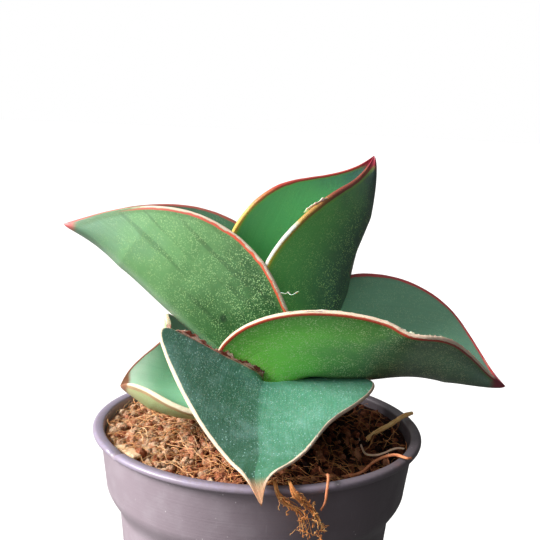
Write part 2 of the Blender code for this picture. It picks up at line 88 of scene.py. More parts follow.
class Value:
    """A number that varies over a surface: an output socket that takes part in arithmetic."""

    def __init__(self, sheet: "NodeSheet", socket: bpy.types.NodeSocket) -> None:
        """Wraps an output socket of the given sheet."""
        self.sheet = sheet
        self.socket = socket

    def __add__(self, other: "Number") -> "Value":
        """Sum."""
        return self.sheet.maths("ADD", self, other)

    __radd__ = __add__

    def __sub__(self, other: "Number") -> "Value":
        """Difference."""
        return self.sheet.maths("SUBTRACT", self, other)

    def __rsub__(self, other: "Number") -> "Value":
        """Difference, with the number first."""
        return self.sheet.maths("SUBTRACT", other, self)

    def __mul__(self, other: "Number") -> "Value":
        """Product."""
        return self.sheet.maths("MULTIPLY", self, other)

    __rmul__ = __mul__

    def __pow__(self, other: "Number") -> "Value":
        """Power."""
        return self.sheet.maths("POWER", self, other)

    def __abs__(self) -> "Value":
        """Size without sign."""
        return self.sheet.maths("ABSOLUTE", self)

    def rising(self, low: float, high: float) -> "Value":
        """A smooth step from 0 to 1.

        Args:
            low: The value at which the step starts.
            high: The value at which the step ends; below low, the step falls instead.

        Returns:
            The step, from 0 to 1.
        """
        if high < low:
            return 1 - self.rising(high, low)
        made = self.sheet.node(
            "ShaderNodeMapRange",
            {"interpolation_type": "SMOOTHSTEP"},
            {"Value": self, "From Min": low, "From Max": high},
        )
        return Value(self.sheet, made.outputs["Result"])

    def between(self, low: float, high: float, soft: float) -> "Value":
        """A band that is 1 from low to high and fades out over soft at each side."""
        return self.rising(low - soft, low + soft) * self.rising(high + soft, high - soft)


Number = Value | float
Socket = bpy.types.NodeSocket
Ink = Colour | Socket


class NodeSheet:
    """A node tree written as calls and expressions."""

    def __init__(self, tree: bpy.types.NodeTree) -> None:
        """Starts with an empty tree."""
        tree.nodes.clear()
        self.tree = tree

    def node(
        self, kind: str, settings: dict[str, Any] | None = None, inputs: dict[str, Any] | None = None
    ) -> bpy.types.Node:
        """Adds a node.

        Args:
            kind: The node's type.
            settings: Its own settings, which are set before its sockets; "stops" fills a ramp.
            inputs: A number, colour, Value or socket for each socket, by its identifier.

        Returns:
            The node.
        """
        made = self.tree.nodes.new(kind)
        for name, setting in (settings or {}).items():
            if name == "stops":
                self._fill_ramp(made.color_ramp, setting)
            else:
                setattr(made, name, setting)
        sockets = {socket.identifier: socket for socket in made.inputs}
        for name, given in (inputs or {}).items():
            source = given.socket if isinstance(given, Value) else given
            if isinstance(source, Socket):
                self.tree.links.new(source, sockets[name])
            else:
                sockets[name].default_value = source
        return made

    @staticmethod
    def _fill_ramp(ramp: bpy.types.ColorRamp, stops: Sequence[tuple[float, Colour]]) -> None:
        """Sets a ramp's stops, from pairs of a place and a colour.

        Args:
            ramp: The ramp to fill.
            stops: A place and a colour for each stop.
        """
        while len(ramp.elements) < len(stops):
            ramp.elements.new(1.0)
        for element, (place, colour) in zip(ramp.elements, stops):
            element.position = place
            element.color = colour

    def maths(self, operation: str, first: Number, second: Number = 0.0) -> Value:
        """Adds a Math node and gives its answer."""
        made = self.node("ShaderNodeMath", {"operation": operation}, {"Value": first, "Value_001": second})
        return Value(self, made.outputs[0])

    def reading(self, name: str) -> Value:
        """A number that the mesh holds at each of its points."""
        return Value(self, self.node("ShaderNodeAttribute", {"attribute_name": name}).outputs["Fac"])

    def place(self) -> Socket:
        """The place on the piece, in millimetres.

        Returns:
            A vector, the same at every pose.
        """
        where = self.node("ShaderNodeTexCoord").outputs["Object"]
        scaled = self.node(
            "ShaderNodeVectorMath", {"operation": "SCALE"}, {"Vector": where, "Scale": 1 / MILLIMETRE}
        )
        return scaled.outputs["Vector"]

    def point(self, x: Number, y: Number, z: Number = 0.0) -> Socket:
        """A vector made of three numbers."""
        return self.node("ShaderNodeCombineXYZ", None, {"X": x, "Y": y, "Z": z}).outputs["Vector"]

    def grain(self, where: Socket, scale: float, detail: float = 2.0, harsh: float = 0.5) -> Value:
        """Cloudy noise from 0 to 1.

        Args:
            where: The place to read it at.
            scale: Lumps per unit of length.
            detail: How many finer layers it has.
            harsh: How strong the finer layers are.

        Returns:
            The noise.
        """
        made = self.node(
            "ShaderNodeTexNoise", None,
            {"Vector": where, "Scale": scale, "Detail": detail, "Roughness": harsh},
        )
        return Value(self, made.outputs["Fac"])

    def cells(self, where: Socket, scale: float, spread: str = "3D") -> Value:
        """The distance to the nearest of many dots, scattered through space or over a flat sheet.

        Args:
            where: The place to read it at.
            scale: Dots per unit of length.
            spread: "3D" through space, or "2D" over a sheet.

        Returns:
            The distance, in units of the dots' spacing.
        """
        settings = {"feature": "F1", "voronoi_dimensions": spread}
        made = self.node("ShaderNodeTexVoronoi", settings, {"Vector": where, "Scale": scale})
        return Value(self, made.outputs["Distance"])

    def blend(self, share: Number, first: Ink, second: Ink) -> Socket:
        """Goes from one colour to another.

        Args:
            share: 0 for the first colour, 1 for the second.
            first: A colour or a colour socket.
            second: A colour or a colour socket.

        Returns:
            The colour socket.
        """
        made = self.node(
            "ShaderNodeMix",
            {"data_type": "RGBA", "clamp_factor": True},
            {"Factor_Float": share, "A_Color": first, "B_Color": second},
        )
        return next(out for out in made.outputs if out.identifier == "Result_Color")

    def shade(self, colour: Ink, level: Number) -> Socket:
        """Multiplies a colour by a number.

        Args:
            colour: The colour.
            level: What multiplies it.

        Returns:
            The colour's socket.
        """
        given = colour[:3] if isinstance(colour, tuple) else colour
        made = self.node("ShaderNodeVectorMath", {"operation": "SCALE"}, {"Vector": given, "Scale": level})
        return made.outputs["Vector"]

    def relief(self, height: Value, depth: float, under: Socket | None = None) -> Socket:
        """Turns a height into a bumped normal.

        Args:
            height: The height, about 0 to 1.
            depth: What a height of 1 stands for, in millimetres.
            under: A coarser bumped normal that this one lies on.

        Returns:
            The normal.
        """
        inputs: dict[str, Any] = {"Height": height, "Distance": depth * MILLIMETRE, "Strength": 1.0}
        if under is not None:
            inputs["Normal"] = under
        return self.node("ShaderNodeBump", None, inputs).outputs["Normal"]

    def ramp(self, level: Value, *stops: tuple[float, Colour]) -> Socket:
        """A colour from a row of stops, each a place from 0 to 1 and a colour."""
        return self.node("ShaderNodeValToRGB", {"stops": stops}, {"Fac": level}).outputs["Color"]

    def surface(self, colour: Ink, rough: Number, normal: Socket, **fixed: Any) -> None:
        """Finishes the tree with a physically based surface.

        Args:
            colour: The base colour.
            rough: The roughness.
            normal: The bumped normal.
            fixed: Settings that are the same all over, by socket with _ for each space.
        """
        constants = {name.replace("_", " "): setting for name, setting in fixed.items()}
        shader = self.node(
            "ShaderNodeBsdfPrincipled", None,
            {"Base Color": colour, "Roughness": rough, "Normal": normal, **constants},
        )
        self.node("ShaderNodeOutputMaterial", None, {"Surface": shader.outputs["BSDF"]})


# --------------------------------------------------------------------------------------
# Finishes
# --------------------------------------------------------------------------------------


@dataclass(frozen=True)
class Finish:
    """A procedural material with a name."""

    name: str

    def material(self) -> bpy.types.Material:
        """Makes the material, once for each name.

        Returns:
            The new material, or the one of this name.
        """
        known = f"{self.name}_finish"
        found = bpy.data.materials.get(known)
        if found is None:
            found = bpy.data.materials.new(known)
            found.use_nodes = True
            self.write(NodeSheet(found.node_tree))
        return found

    def write(self, sheet: NodeSheet) -> None:
        """Writes the finish's nodes on the sheet."""
        raise NotImplementedError


@dataclass(frozen=True)
class MarginLook:
    """How one margin of a leaf is coloured.

    Places across the margin are millimetres round it from its middle, less than zero on
    the inner face. Places along it are shares of the leaf's length: the line takes its
    second colour round change, and moves on to the very rim from rim_start.
    """

    line: Colour = tint(176, 62, 52)
    line_ahead: Colour = tint(176, 62, 52)
    change: float = 0.6
    soft: float = 0.16
    line_span: tuple[float, float] = (0.35, 1.15)
    paper: Colour = tint(232, 214, 190)
    paper_span: tuple[float, float] = (-0.9, 0.5)
    paper_start: float = 0.0
    paper_end: float = 1.0
    glow: Colour = tint(120, 160, 60)
    rim_start: float = 2.0


@dataclass(frozen=True)
class Mark:
    """A small dark spot on a leaf's outer face, the painted shade of a dimple, placed by millimetres along
    its midrib and across it.
    """

    run: float
    girth: float
    size: float
    colour: Colour


@dataclass(frozen=True)
class LeafSkin(Finish):
    """The waxy skin of a leaf, with its streaks, speckle, coloured margins and tip."""

    outer: Colour = tint(96, 150, 80)
    outer_low: Colour = tint(70, 120, 60)
    outer_tip: Colour = tint(140, 175, 135)
    keel: Colour = tint(120, 140, 110)
    keel_share: float = 0.3
    keel_span: float = 0.12
    inner: Colour = tint(70, 120, 85)
    inner_low: Colour = tint(60, 130, 60)
    inner_tip: Colour = tint(90, 140, 110)
    speckle: Colour = tint(190, 220, 150)
    speckle_outer: float = 0.5
    speckle_inner: float = 0.15
    dust: float = 0.0
    bloom: Colour = tint(176, 218, 214)
    bands: float = 0.0
    tip: Colour = tint(200, 90, 90)
    tip_start: float = 0.95
    left: MarginLook = MarginLook()
    right: MarginLook = MarginLook()
    stain: float = 0.0
    stain_span: tuple[float, float] = (0.1, 0.5)
    stain_pale: Colour = tint(206, 166, 146)
    stain_dark: Colour = tint(120, 62, 44)
    marks: tuple[Mark, ...] = ()
    rough: float = 0.4
    wing_painted_shade: tuple[float, float] = (1.0, 1.0)
    low_span: tuple[float, float] = (0.05, 0.6)
    edge_shade: float = 0.0

    def write(self, sheet: NodeSheet) -> None:
        """Writes the leaf's nodes: the two faces, then what lies over them, then the relief.

        Args:
            sheet: The sheet to write on.
        """
        along, run, girth = (sheet.reading(name) for name in ("along", "run", "girth"))
        brink, inner, across = (sheet.reading(name) for name in ("brink", "inner", "across"))
        lengthwise = sheet.point(girth, run * 0.06, inner)
        flat = sheet.point(girth, run, inner * 40)
        clouds = sheet.grain(flat, 0.09, 3)
        threads = sheet.grain(lengthwise, 1.1, 3, 0.6)
        face = self._face(sheet, along, across, clouds, inner)
        level = 0.92 + threads * 0.16
        colour = sheet.shade(face, level)
        colour = self._bands(sheet, colour, girth, run, inner)
        colour, dots = self._speckle(sheet, colour, inner, along)
        colour = self._dust(sheet, colour, flat, inner)
        colour = self._marks(sheet, colour, run, girth, inner)
        colour = self._stain(sheet, colour, along, across, brink, flat)
        colour, paper = self._margins(sheet, colour, along, run, across, brink)
        ragged_along = along + sheet.grain(lengthwise, 0.5, 2) * 0.03
        wither = ragged_along.rising(self.tip_start, self.tip_start + 0.035)
        colour = sheet.blend(wither, colour, self.tip)
        ribs = sheet.grain(lengthwise, 1.6, 2)
        pores = sheet.grain(flat, 3.2, 2, 0.6)
        soft = sheet.relief(ribs, 0.08)
        fine = sheet.relief(pores + dots * 0.6, 0.045, soft)
        rough = self.rough + clouds * 0.16 - 0.08 + dots * 0.1 + paper * 0.3
        sheet.surface(
            colour, rough, fine, Specular_IOR_Level=0.45, Subsurface_Weight=0.12, Subsurface_Scale=0.0012,
            Coat_Weight=0.04, Coat_Roughness=0.3,
        )

    def _face(self, sheet: NodeSheet, along: Value, across: Value, clouds: Value, inner: Value) -> Ink:
        """The greens of the two faces, from the base to the tip, with painted shade round the keel on some
        leaves, near the margins and on one wing.

        Args:
            sheet: The sheet to write on.
            along: Share of the leaf's length.
            across: Side of the midrib, positive at the left.
            clouds: A broad soft variation.
            inner: 1 on the inner face.

        Returns:
            The greens.
        """
        ahead = along + (clouds - 0.5) * 0.35
        # The low greens of the right leaf's outer face and the upright leaf's inner face are very bright:
        # painted light glowing through the leaf.
        outer = sheet.blend(ahead.rising(*self.low_span), self.outer_low, self.outer)
        outer = sheet.blend(ahead.rising(0.62, 1.0), outer, self.outer_tip)
        # The keel colour over the outer face: on the upright and right leaves it is a dark colour spread
        # wide, painted shade where that face lies in shade; the other leaves take a paler keel colour.
        ridge = abs(across).rising(self.keel_span, 0.0) * self.keel_share
        outer = sheet.blend(ridge * along.rising(0.02, 0.3), outer, self.keel)
        outer = sheet.shade(outer, 1 - abs(across).rising(0.55, 1.0) * self.edge_shade)
        lit = sheet.blend(ahead.rising(0.05, 0.6), self.inner_low, self.inner)
        lit = sheet.blend(ahead.rising(0.65, 1.0), lit, self.inner_tip)
        # Painted shade: one wing of the inner face is darker than the other, as the wing turned away from the
        # light is.
        left, right = self.wing_painted_shade
        lit = sheet.shade(lit, right + across.rising(-0.05, 0.03) * (left - right))
        return sheet.blend(inner, outer, lit)

    def _bands(self, sheet: NodeSheet, colour: Ink, girth: Value, run: Value, inner: Value) -> Ink:
        """Broad darker bands that follow the leaf's length on its outer face.

        Args:
            sheet: The sheet to write on.
            colour: The colour so far.
            girth: Distance round the leaf.
            run: Distance along the leaf.
            inner: 1 on the inner face.

        Returns:
            The colour with them on it.
        """
        if not self.bands:
            return colour
        broken = sheet.grain(sheet.point(girth * 0.55, run * 0.05, 7.0), 0.75, 2).rising(0.52, 0.68)
        return sheet.blend(broken * (1 - inner) * self.bands, colour, sheet.shade(colour, 0.62))

    def _speckle(self, sheet: NodeSheet, colour: Ink, inner: Value, along: Value) -> tuple[Ink, Value]:
        """Many fine pale dots, which are thinner on the inner face.

        Args:
            sheet: The sheet to write on.
            colour: The colour so far.
            inner: 1 on the inner face.
            along: Share of the leaf's length.

        Returns:
            The colour with them on it, and where they are.
        """
        where = sheet.place()
        dots = sheet.cells(where, 2.3).rising(0.42, 0.18)
        crumbs = sheet.cells(where, 1.15).rising(0.28, 0.1)
        grit = sheet.grain(where, 0.3, 3, 0.7).rising(0.32, 0.58)
        amount = inner * self.speckle_inner + (1 - inner) * self.speckle_outer
        share = (dots + crumbs * 0.6) * grit * amount * along.rising(1.0, 0.62)
        return sheet.blend(share, colour, self.speckle), dots * grit

    def _dust(self, sheet: NodeSheet, colour: Ink, flat: Socket, inner: Value) -> Ink:
        """A pale bloom with rubbed patches on the inner face.

        Args:
            sheet: The sheet to write on.
            colour: The colour so far.
            flat: Place on the opened-out faces.
            inner: 1 on the inner face.

        Returns:
            The colour with it on top.
        """
        if not self.dust:
            return colour
        haze = sheet.grain(flat, 0.2, 6, 0.75).rising(0.45, 0.7)
        flecks = sheet.cells(flat, 0.8, "2D").rising(0.16, 0.05) * sheet.grain(flat, 0.3, 2).rising(0.42, 0.6)
        patches = sheet.grain(flat, 0.055, 3, 0.6).rising(0.5, 0.72)
        share = (haze * 0.16 + patches * 0.22 + flecks * 0.6) * inner * self.dust
        return sheet.blend(share, colour, self.bloom)

    def _marks(self, sheet: NodeSheet, colour: Ink, run: Value, girth: Value, inner: Value) -> Ink:
        """Small dark spots: the painted shade of dimples.

        Args:
            sheet: The sheet to write on.
            colour: The colour so far.
            run: Distance along the leaf.
            girth: Distance round the leaf.
            inner: 1 on the inner face.

        Returns:
            The colour with them on it.
        """
        for mark in self.marks:
            away = ((run - mark.run) ** 2 + (girth - mark.girth) ** 2) ** 0.5
            spot = away.rising(mark.size, mark.size * 0.3) * (1 - inner)
            colour = sheet.blend(spot * 0.8, colour, mark.colour)
        return colour

    def _stain(
        self, sheet: NodeSheet, colour: Ink, along: Value, across: Value, brink: Value, flat: Socket
    ) -> Ink:
        """Brown dried patches that reach in from the right margin.

        Args:
            sheet: The sheet to write on.
            colour: The colour so far.
            along: Share of the leaf's length.
            across: Side of the midrib, positive at the left.
            brink: Distance from the margin, below 0 on the inner face.
            flat: Place on the opened-out faces.

        Returns:
            The colour with them on it.
        """
        if not self.stain:
            return colour
        start, end = self.stain_span
        ragged = sheet.grain(flat, 0.45, 3, 0.6) * 1.6
        where = along.between(start, end, 0.04) * across.rising(0.1, -0.1) * self.stain
        band = (abs(brink) - ragged).rising(1.9, 1.2)
        streaks = sheet.grain(sheet.point(brink * 1.6, along * 26, 9.0), 1.0, 3, 0.6).rising(0.46, 0.56)
        dried = sheet.blend(streaks, self.stain_pale, self.stain_dark)
        return sheet.blend(where * band, colour, dried)

    def _margins(
        self, sheet: NodeSheet, colour: Ink, along: Value, run: Value, across: Value, brink: Value
    ) -> tuple[Ink, Value]:
        """The coloured line and the papery cuticle on each margin.

        Args:
            sheet: The sheet to write on.
            colour: The colour so far.
            along: Share of the leaf's length.
            run: Distance along the leaf.
            across: Side of the midrib, positive at the left.
            brink: Distance from the margin, below 0 on the inner face.

        Returns:
            The colour with them on it, and where the cuticle is.
        """
        left = across.rising(-0.02, 0.02)
        wander = sheet.grain(sheet.point(run * 0.35, left * 30, 3.0), 0.9, 3, 0.65) - 0.5
        place = brink + wander * 0.7
        papery: Value | None = None
        for look, side in ((self.left, left), (self.right, 1 - left)):
            glow = place.between(look.line_span[0] - 0.5, look.line_span[1] + 1.0, 0.6) * side
            colour = sheet.blend(glow * 0.4, colour, look.glow)
            ahead = (along + wander * 0.16).rising(look.change - look.soft, look.change + look.soft)
            hue = sheet.blend(ahead, look.line, look.line_ahead)
            hue = sheet.shade(hue, 1.0 + wander * 0.5)
            line = place.between(*look.line_span, 0.16) * side
            near_tip = along.rising(look.rim_start - 0.04, look.rim_start + 0.04)
            rim = place.between(-1.3, 0.3, 0.16) * side * near_tip
            colour = sheet.blend(line * (1.0 - near_tip), colour, hue)
            colour = sheet.blend(rim, colour, hue)
            torn = along + wander * 0.12
            kept = torn.between(look.paper_start, look.paper_end, 0.02)
            paper = place.between(*look.paper_span, 0.12) * side * kept
            flakes = sheet.shade(look.paper, 0.9 + wander * 0.5)
            colour = sheet.blend(paper, colour, flakes)
            papery = paper if papery is None else papery + paper
        return colour, papery


@dataclass(frozen=True)
class PaperyCuticle(Finish):
    """Dry, thin cuticle that has lifted from a margin."""

    pale: Colour = tint(236, 224, 200)
    dark: Colour = tint(188, 150, 118)
    stained: float = 0.0

    def write(self, sheet: NodeSheet) -> None:
        """Writes a fibrous cream sheet that lets some light through.

        Args:
            sheet: The sheet to write on.
        """
        run, girth = sheet.reading("run"), sheet.reading("girth")
        fibres = sheet.grain(sheet.point(run * 0.5, girth * 3.0, 0.0), 1.6, 3, 0.6)
        blotch = sheet.grain(sheet.place(), 0.5, 3, 0.6).rising(0.42, 0.7)
        colour = sheet.blend(blotch * 0.7, self.pale, self.dark)
        streaks = sheet.grain(sheet.point(run * 0.9, girth * 1.4, 4.0), 0.8, 2, 0.5).rising(0.45, 0.56)
        colour = sheet.blend(streaks * self.stained, colour, self.dark)
        colour = sheet.shade(colour, 0.8 + fibres * 0.4)
        sheet.surface(
            colour, 0.55 + fibres * 0.2, sheet.relief(fibres, 0.12), Subsurface_Weight=0.3,
            Subsurface_Scale=0.0008, Specular_IOR_Level=0.3,
        )


@dataclass(frozen=True)
class PotPlastic(Finish):
    """Satin thermoformed plastic, with specks, scratches, lip wear and painted light: the left side painted
    lighter and the right darker, with painted sheen in dusty patches and a painted highlight on the lip at
    the left.
    """

    base: Colour = (0.29, 0.232, 0.268, 1.0)
    scuff_and_sheen: Colour = (0.42, 0.38, 0.42, 1.0)
    lip_wear_and_highlight: Colour = (0.3, 0.26, 0.38, 1.0)
    speck: Colour = tint(205, 198, 200)
    soil_dust: Colour = tint(128, 86, 60)

    def write(self, sheet: NodeSheet) -> None:
        """Writes the plastic's mottling, specks, scratches and lip wear, and its painted light and shade.

        Args:
            sheet: The sheet to write on.
        """
        where = sheet.place()
        depth = sheet.reading("depth")
        turn = sheet.reading("turn")
        mottle = sheet.grain(where, 0.05, 4, 0.6)
        skin = sheet.grain(where, 1.1, 3, 0.6)
        haze = sheet.grain(where, 0.16, 4, 0.6).rising(0.42, 0.72)
        # Painted light and shade: the colour is lighter round the left side and darker round the right, as
        # the lamp's light falls on the pot.
        pot_painted_light = turn.rising(104.0, 30.0)
        colour = sheet.shade(self.base, (0.82 + mottle * 0.36) * (0.34 + pot_painted_light * 0.64))
        # Painted sheen: pale patches of dusty bloom, shown only on the lit left side.
        colour = sheet.blend(haze * 0.22 * pot_painted_light, colour, self.scuff_and_sheen)
        lip = depth.rising(2.2, 0.2)
        wear = sheet.grain(where, 0.7, 3, 0.6).rising(0.4, 0.62)
        # Painted highlight: the lip wear is paler and stronger on the lit left side.
        lip_wear_and_highlight_share = lip * (0.35 + wear * 0.4) * (0.04 + pot_painted_light * 1.06)
        colour = sheet.blend(lip_wear_and_highlight_share, colour, self.lip_wear_and_highlight)
        specks = sheet.cells(where, 0.42).rising(0.085, 0.05) * sheet.grain(where, 0.11, 2).rising(0.45, 0.6)
        colour = sheet.blend(specks * 0.8, colour, self.speck)
        dusty = sheet.cells(where, 0.3).rising(0.06, 0.03) * depth.rising(24.0, 2.0)
        colour = sheet.blend(dusty * 0.7, colour, self.soil_dust)
        hoops = sheet.grain(sheet.point(turn * 0.02, depth * 1.6, 0.0), 1.0, 2)
        scratch = sheet.grain(sheet.point(turn * 2.6, depth * 0.12, 5.0), 1.0, 2).rising(0.66, 0.76)
        colour = sheet.blend(scratch * 0.16, colour, self.scuff_and_sheen)
        rough = 0.4 + haze * 0.12 + skin * 0.08 - lip * 0.08 + scratch * 0.1
        broad = sheet.relief(hoops, 0.05)
        normal = sheet.relief(skin + specks * 0.7 + scratch * 0.2, 0.03, broad)
        sheet.surface(colour, rough, normal, Specular_IOR_Level=0.6)


@dataclass(frozen=True)
class Coir(Finish):
    """Loose coir crumbs and pith, tan and fibrous, with painted shade that darkens the hollows."""

    dark: Colour = tint(46, 22, 18)
    middle: Colour = tint(196, 112, 78)
    light: Colour = tint(248, 176, 136)
    pale: Colour = tint(252, 226, 190)

    def write(self, sheet: NodeSheet) -> None:
        """Writes a crumbly ramp of browns, driven by each crumb's tone, which carries painted light, and
        darker where the bumps dip, as painted shade.

        Args:
            sheet: The sheet to write on.
        """
        where = sheet.place()
        tone = sheet.reading("tone")
        crumbs = sheet.grain(where, 1.3, 5, 0.7)
        fibres = sheet.grain(where, 4.5, 4, 0.7)
        # Painted shade: the crumbs noise that raises the bumps also sets the colour, so the dips of the
        # relief are darker; the tone brings in the soil's painted light.
        level = tone * 0.8 + crumbs * 0.9 + fibres * 0.34 - 0.66
        browns = sheet.ramp(
            level, (0.05, self.dark), (0.42, self.middle), (0.72, self.light), (0.97, self.pale)
        )
        colour = sheet.shade(browns, 0.75 + fibres * 0.5)
        lumps = sheet.relief(crumbs, 2.2)
        normal = sheet.relief(fibres, 0.7, lumps)
        sheet.surface(colour, 0.86 + fibres * 0.1, normal, Specular_IOR_Level=0.2)


@dataclass(frozen=True)
class RootBark(Finish):
    """Dry root or coir fibre, streaked along its length."""

    dark: Colour = tint(104, 52, 26)
    middle: Colour = tint(186, 112, 60)
    pale: Colour = tint(226, 170, 112)

    def write(self, sheet: NodeSheet) -> None:
        """Writes lengthwise streaks, darker rings and a fine relief.

        Args:
            sheet: The sheet to write on.
        """
        run, turn, tone = sheet.reading("run"), sheet.reading("turn"), sheet.reading("tone")
        streaks = sheet.grain(sheet.point(turn * 1.6, run * 0.22, tone * 20), 1.5, 4, 0.65)
        rings = sheet.grain(sheet.point(run * 1.4, tone * 9, 2.0), 0.9, 3, 0.6)
        # On the soil's fibres the tone also carries the soil's painted light on the left side.
        level = streaks * 0.75 + rings * 0.35 + tone * 0.35 - 0.22
        colour = sheet.ramp(level, (0.1, self.dark), (0.5, self.middle), (0.92, self.pale))
        normal = sheet.relief(streaks + rings * 0.5, 0.16)
        sheet.surface(
            colour, 0.62 + streaks * 0.2, normal, Specular_IOR_Level=0.35, Subsurface_Weight=0.1,
            Subsurface_Scale=0.0006,
        )


@dataclass(frozen=True)
class RhizomeSkin(Finish):
    """The rhizome's tan skin, ringed by old leaf scars."""

    dark: Colour = tint(140, 82, 44)
    pale: Colour = tint(206, 150, 92)

    def write(self, sheet: NodeSheet) -> None:
        """Writes the rings, the mottling and a fine relief.

        Args:
            sheet: The sheet to write on.
        """
        where = sheet.place()
        mottle = sheet.grain(where, 0.6, 4, 0.6)
        rings = sheet.node(
            "ShaderNodeTexWave", {"wave_type": "BANDS", "bands_direction": "DIAGONAL"},
            {"Vector": where, "Scale": 0.12, "Distortion": 2.0, "Detail": 2.0},
        )
        band = Value(sheet, rings.outputs["Fac"])
        colour = sheet.blend(mottle * 0.6 + band * 0.3, self.dark, self.pale)
        sheet.surface(colour, 0.55 + mottle * 0.2, sheet.relief(band + mottle, 0.2), Specular_IOR_Level=0.35)


@dataclass(frozen=True)
class PaleFloor(Finish):
    """A plain pale studio floor."""

    colour: Colour = (0.82, 0.82, 0.82, 1.0)

    def write(self, sheet: NodeSheet) -> None:
        """Writes a matt off-white with a barely visible mottle."""
        mottle = sheet.grain(sheet.place(), 0.01, 3)
        sheet.surface(
            sheet.shade(self.colour, 0.99 + mottle * 0.02), 0.7 + mottle * 0.1, sheet.relief(mottle, 0.02),
            Specular_IOR_Level=0.2,
        )


# --------------------------------------------------------------------------------------
# Shapes
# --------------------------------------------------------------------------------------


def smooth_curve(knots: Sequence[float], values: Any, at: Any) -> np.ndarray:
    """Reads a natural cubic spline.

    Args:
        knots: Where the values stand.
        values: One number or one row of numbers for each knot.
        at: Where to read it.

    Returns:
        The spline's values at those places.
    """
    knots, values, at = (np.asarray(each, float) for each in (knots, values, at))
    if values.ndim > 1:
        return np.stack([smooth_curve(knots, column, at) for column in values.T], -1)
    gap = np.diff(knots)
    slope = np.diff(values) / gap
    system = np.eye(len(knots))
    bend = np.zeros(len(knots))
    for i in range(1, len(knots) - 1):
        system[i, i - 1 : i + 2] = gap[i - 1], 2 * (gap[i - 1] + gap[i]), gap[i]
        bend[i] = 6 * (slope[i] - slope[i - 1])
    second = np.linalg.solve(system, bend)
    i = np.clip(np.searchsorted(knots, at) - 1, 0, len(knots) - 2)
    back, ahead = at - knots[i], knots[i + 1] - at
    curved = (second[i] * ahead**3 + second[i + 1] * back**3) / (6 * gap[i])
    from_left = (values[i] / gap[i] - second[i] * gap[i] / 6) * ahead
    from_right = (values[i + 1] / gap[i] - second[i + 1] * gap[i] / 6) * back
    return curved + from_left + from_right


def evenly(values: Any, at: Any) -> np.ndarray:
    """Reads values that are spread evenly from 0 to 1."""
    return smooth_curve(np.linspace(0, 1, len(values)), values, at)


def unit(vectors: np.ndarray) -> np.ndarray:
    """Vectors of length one."""
    return vectors / np.maximum(np.linalg.norm(vectors, axis=-1, keepdims=True), 1e-9)


def lumps(points: np.ndarray, size: float, seed: float = 0.0, octaves: int = 3) -> np.ndarray:
    """Smooth noise at many places.

    Args:
        points: The places, in rows.
        size: How far apart the lumps are.
        seed: Picks another pattern.
        octaves: How many finer layers it has.

    Returns:
        About -1 to 1 for each row.
    """
    shift = Vector((seed * 17.3, seed * -9.1, seed * 5.7))
    places = (Vector(point) / size + shift for point in points.reshape(-1, 3))
    return np.array([noise.fractal(place, 0.9, 2.1, octaves) for place in places])


def lengths(line: np.ndarray) -> np.ndarray:
    """How far along a line each of its points is."""
    return np.concatenate([[0], np.cumsum(np.linalg.norm(np.diff(line, axis=0), axis=1))])


def ring_turns(count: int) -> np.ndarray:
    """Angles of the points of a ring, in radians from +X."""
    return np.arange(count) * math.tau / count


class Body:
    """Gathers points, faces and a number or more at each point, and makes one piece of them."""

    def __init__(self, *readings: str) -> None:
        """Starts empty, with the names of the numbers that each point holds.

        Args:
            *readings: The numbers' names.
        """
        self.points: list[np.ndarray] = []
        self.faces: list[tuple[int, ...]] = []
        self.readings: dict[str, list[np.ndarray]] = {name: [] for name in readings}
        self.count = 0

    def add(self, points: np.ndarray, faces: Iterable[Sequence[int]], **readings: Any) -> None:
        """Adds points and the faces between them.

        Args:
            points: The points, in rows, in millimetres.
            faces: Loops of indices into those points.
            readings: One number, or one for each point, for each of the body's readings.
        """
        points = np.asarray(points, float).reshape(-1, 3)
        start = self.count
        self.points.append(points)
        self.faces.extend(tuple(start + i for i in face) for face in faces)
        for name, held in self.readings.items():
            given = np.asarray(readings.get(name, 0.0), float).reshape(-1)
            held.append(np.broadcast_to(given, (len(points),)))
        self.count += len(points)

    def piece(self, name: str, finish: Finish, slot: str, *nodes: str) -> bpy.types.Object:
        """Makes the piece, smooth shaded, riding on the plant's one body.

        Args:
            name: The piece's name.
            finish: What it is made of.
            slot: A material slot name, handed on to place_piece.
            nodes: The frame's nodes that it stands for.

        Returns:
            The object.
        """
        mesh = bpy.data.meshes.new(name)
        mesh.from_pydata((np.concatenate(self.points) * MILLIMETRE).tolist(), [], self.faces)
        for reading, held in self.readings.items():
            mesh.attributes.new(reading, "FLOAT", "POINT").data.foreach_set("value", np.concatenate(held))
        mesh.polygons.foreach_set("use_smooth", [True] * len(mesh.polygons))
        mesh.materials.append(finish.material())
        mesh.update()
        item = bpy.data.objects.new(name, mesh)
        bpy.context.scene.collection.objects.link(item)
        return place_piece(item, slot, *nodes)


def place_piece(item: bpy.types.Object, slot: str, *nodes: str) -> bpy.types.Object:
    """Hangs a piece on the plant's one body, in place of the given nodes, and reports it.

    Args:
        item: The finished piece.
        slot: Not used.
        *nodes: The nodes that it replaces.

    Returns:
        The same piece.
    """
    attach(item, "root")
    if nodes:
        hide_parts(*nodes)
    LOG.info("%s: %d faces", item.name, len(item.data.polygons))
    return item


def loop_faces(rings: int, around: int) -> list[tuple[int, ...]]:
    """Quads between rings of points.

    Args:
        rings: How many rings there are.
        around: How many points each ring has.

    Returns:
        Loops of indices, ring by ring.
    """
    faces = []
    for low in range(0, (rings - 1) * around, around):
        high = low + around
        for i in range(around):
            after = (i + 1) % around
            faces.append((low + i, low + after, high + after, high + i))
    return faces


def capped_faces(rings: int, around: int) -> list[tuple[int, ...]]:
    """Quads between rings of points, with a flat cap on the first ring and on the last.

    Args:
        rings: How many rings there are.
        around: How many points each ring has.

    Returns:
        Loops of indices, with the caps last.
    """
    last = (rings - 1) * around
    caps = [tuple(reversed(range(around))), tuple(range(last, last + around))]
    return loop_faces(rings, around) + caps


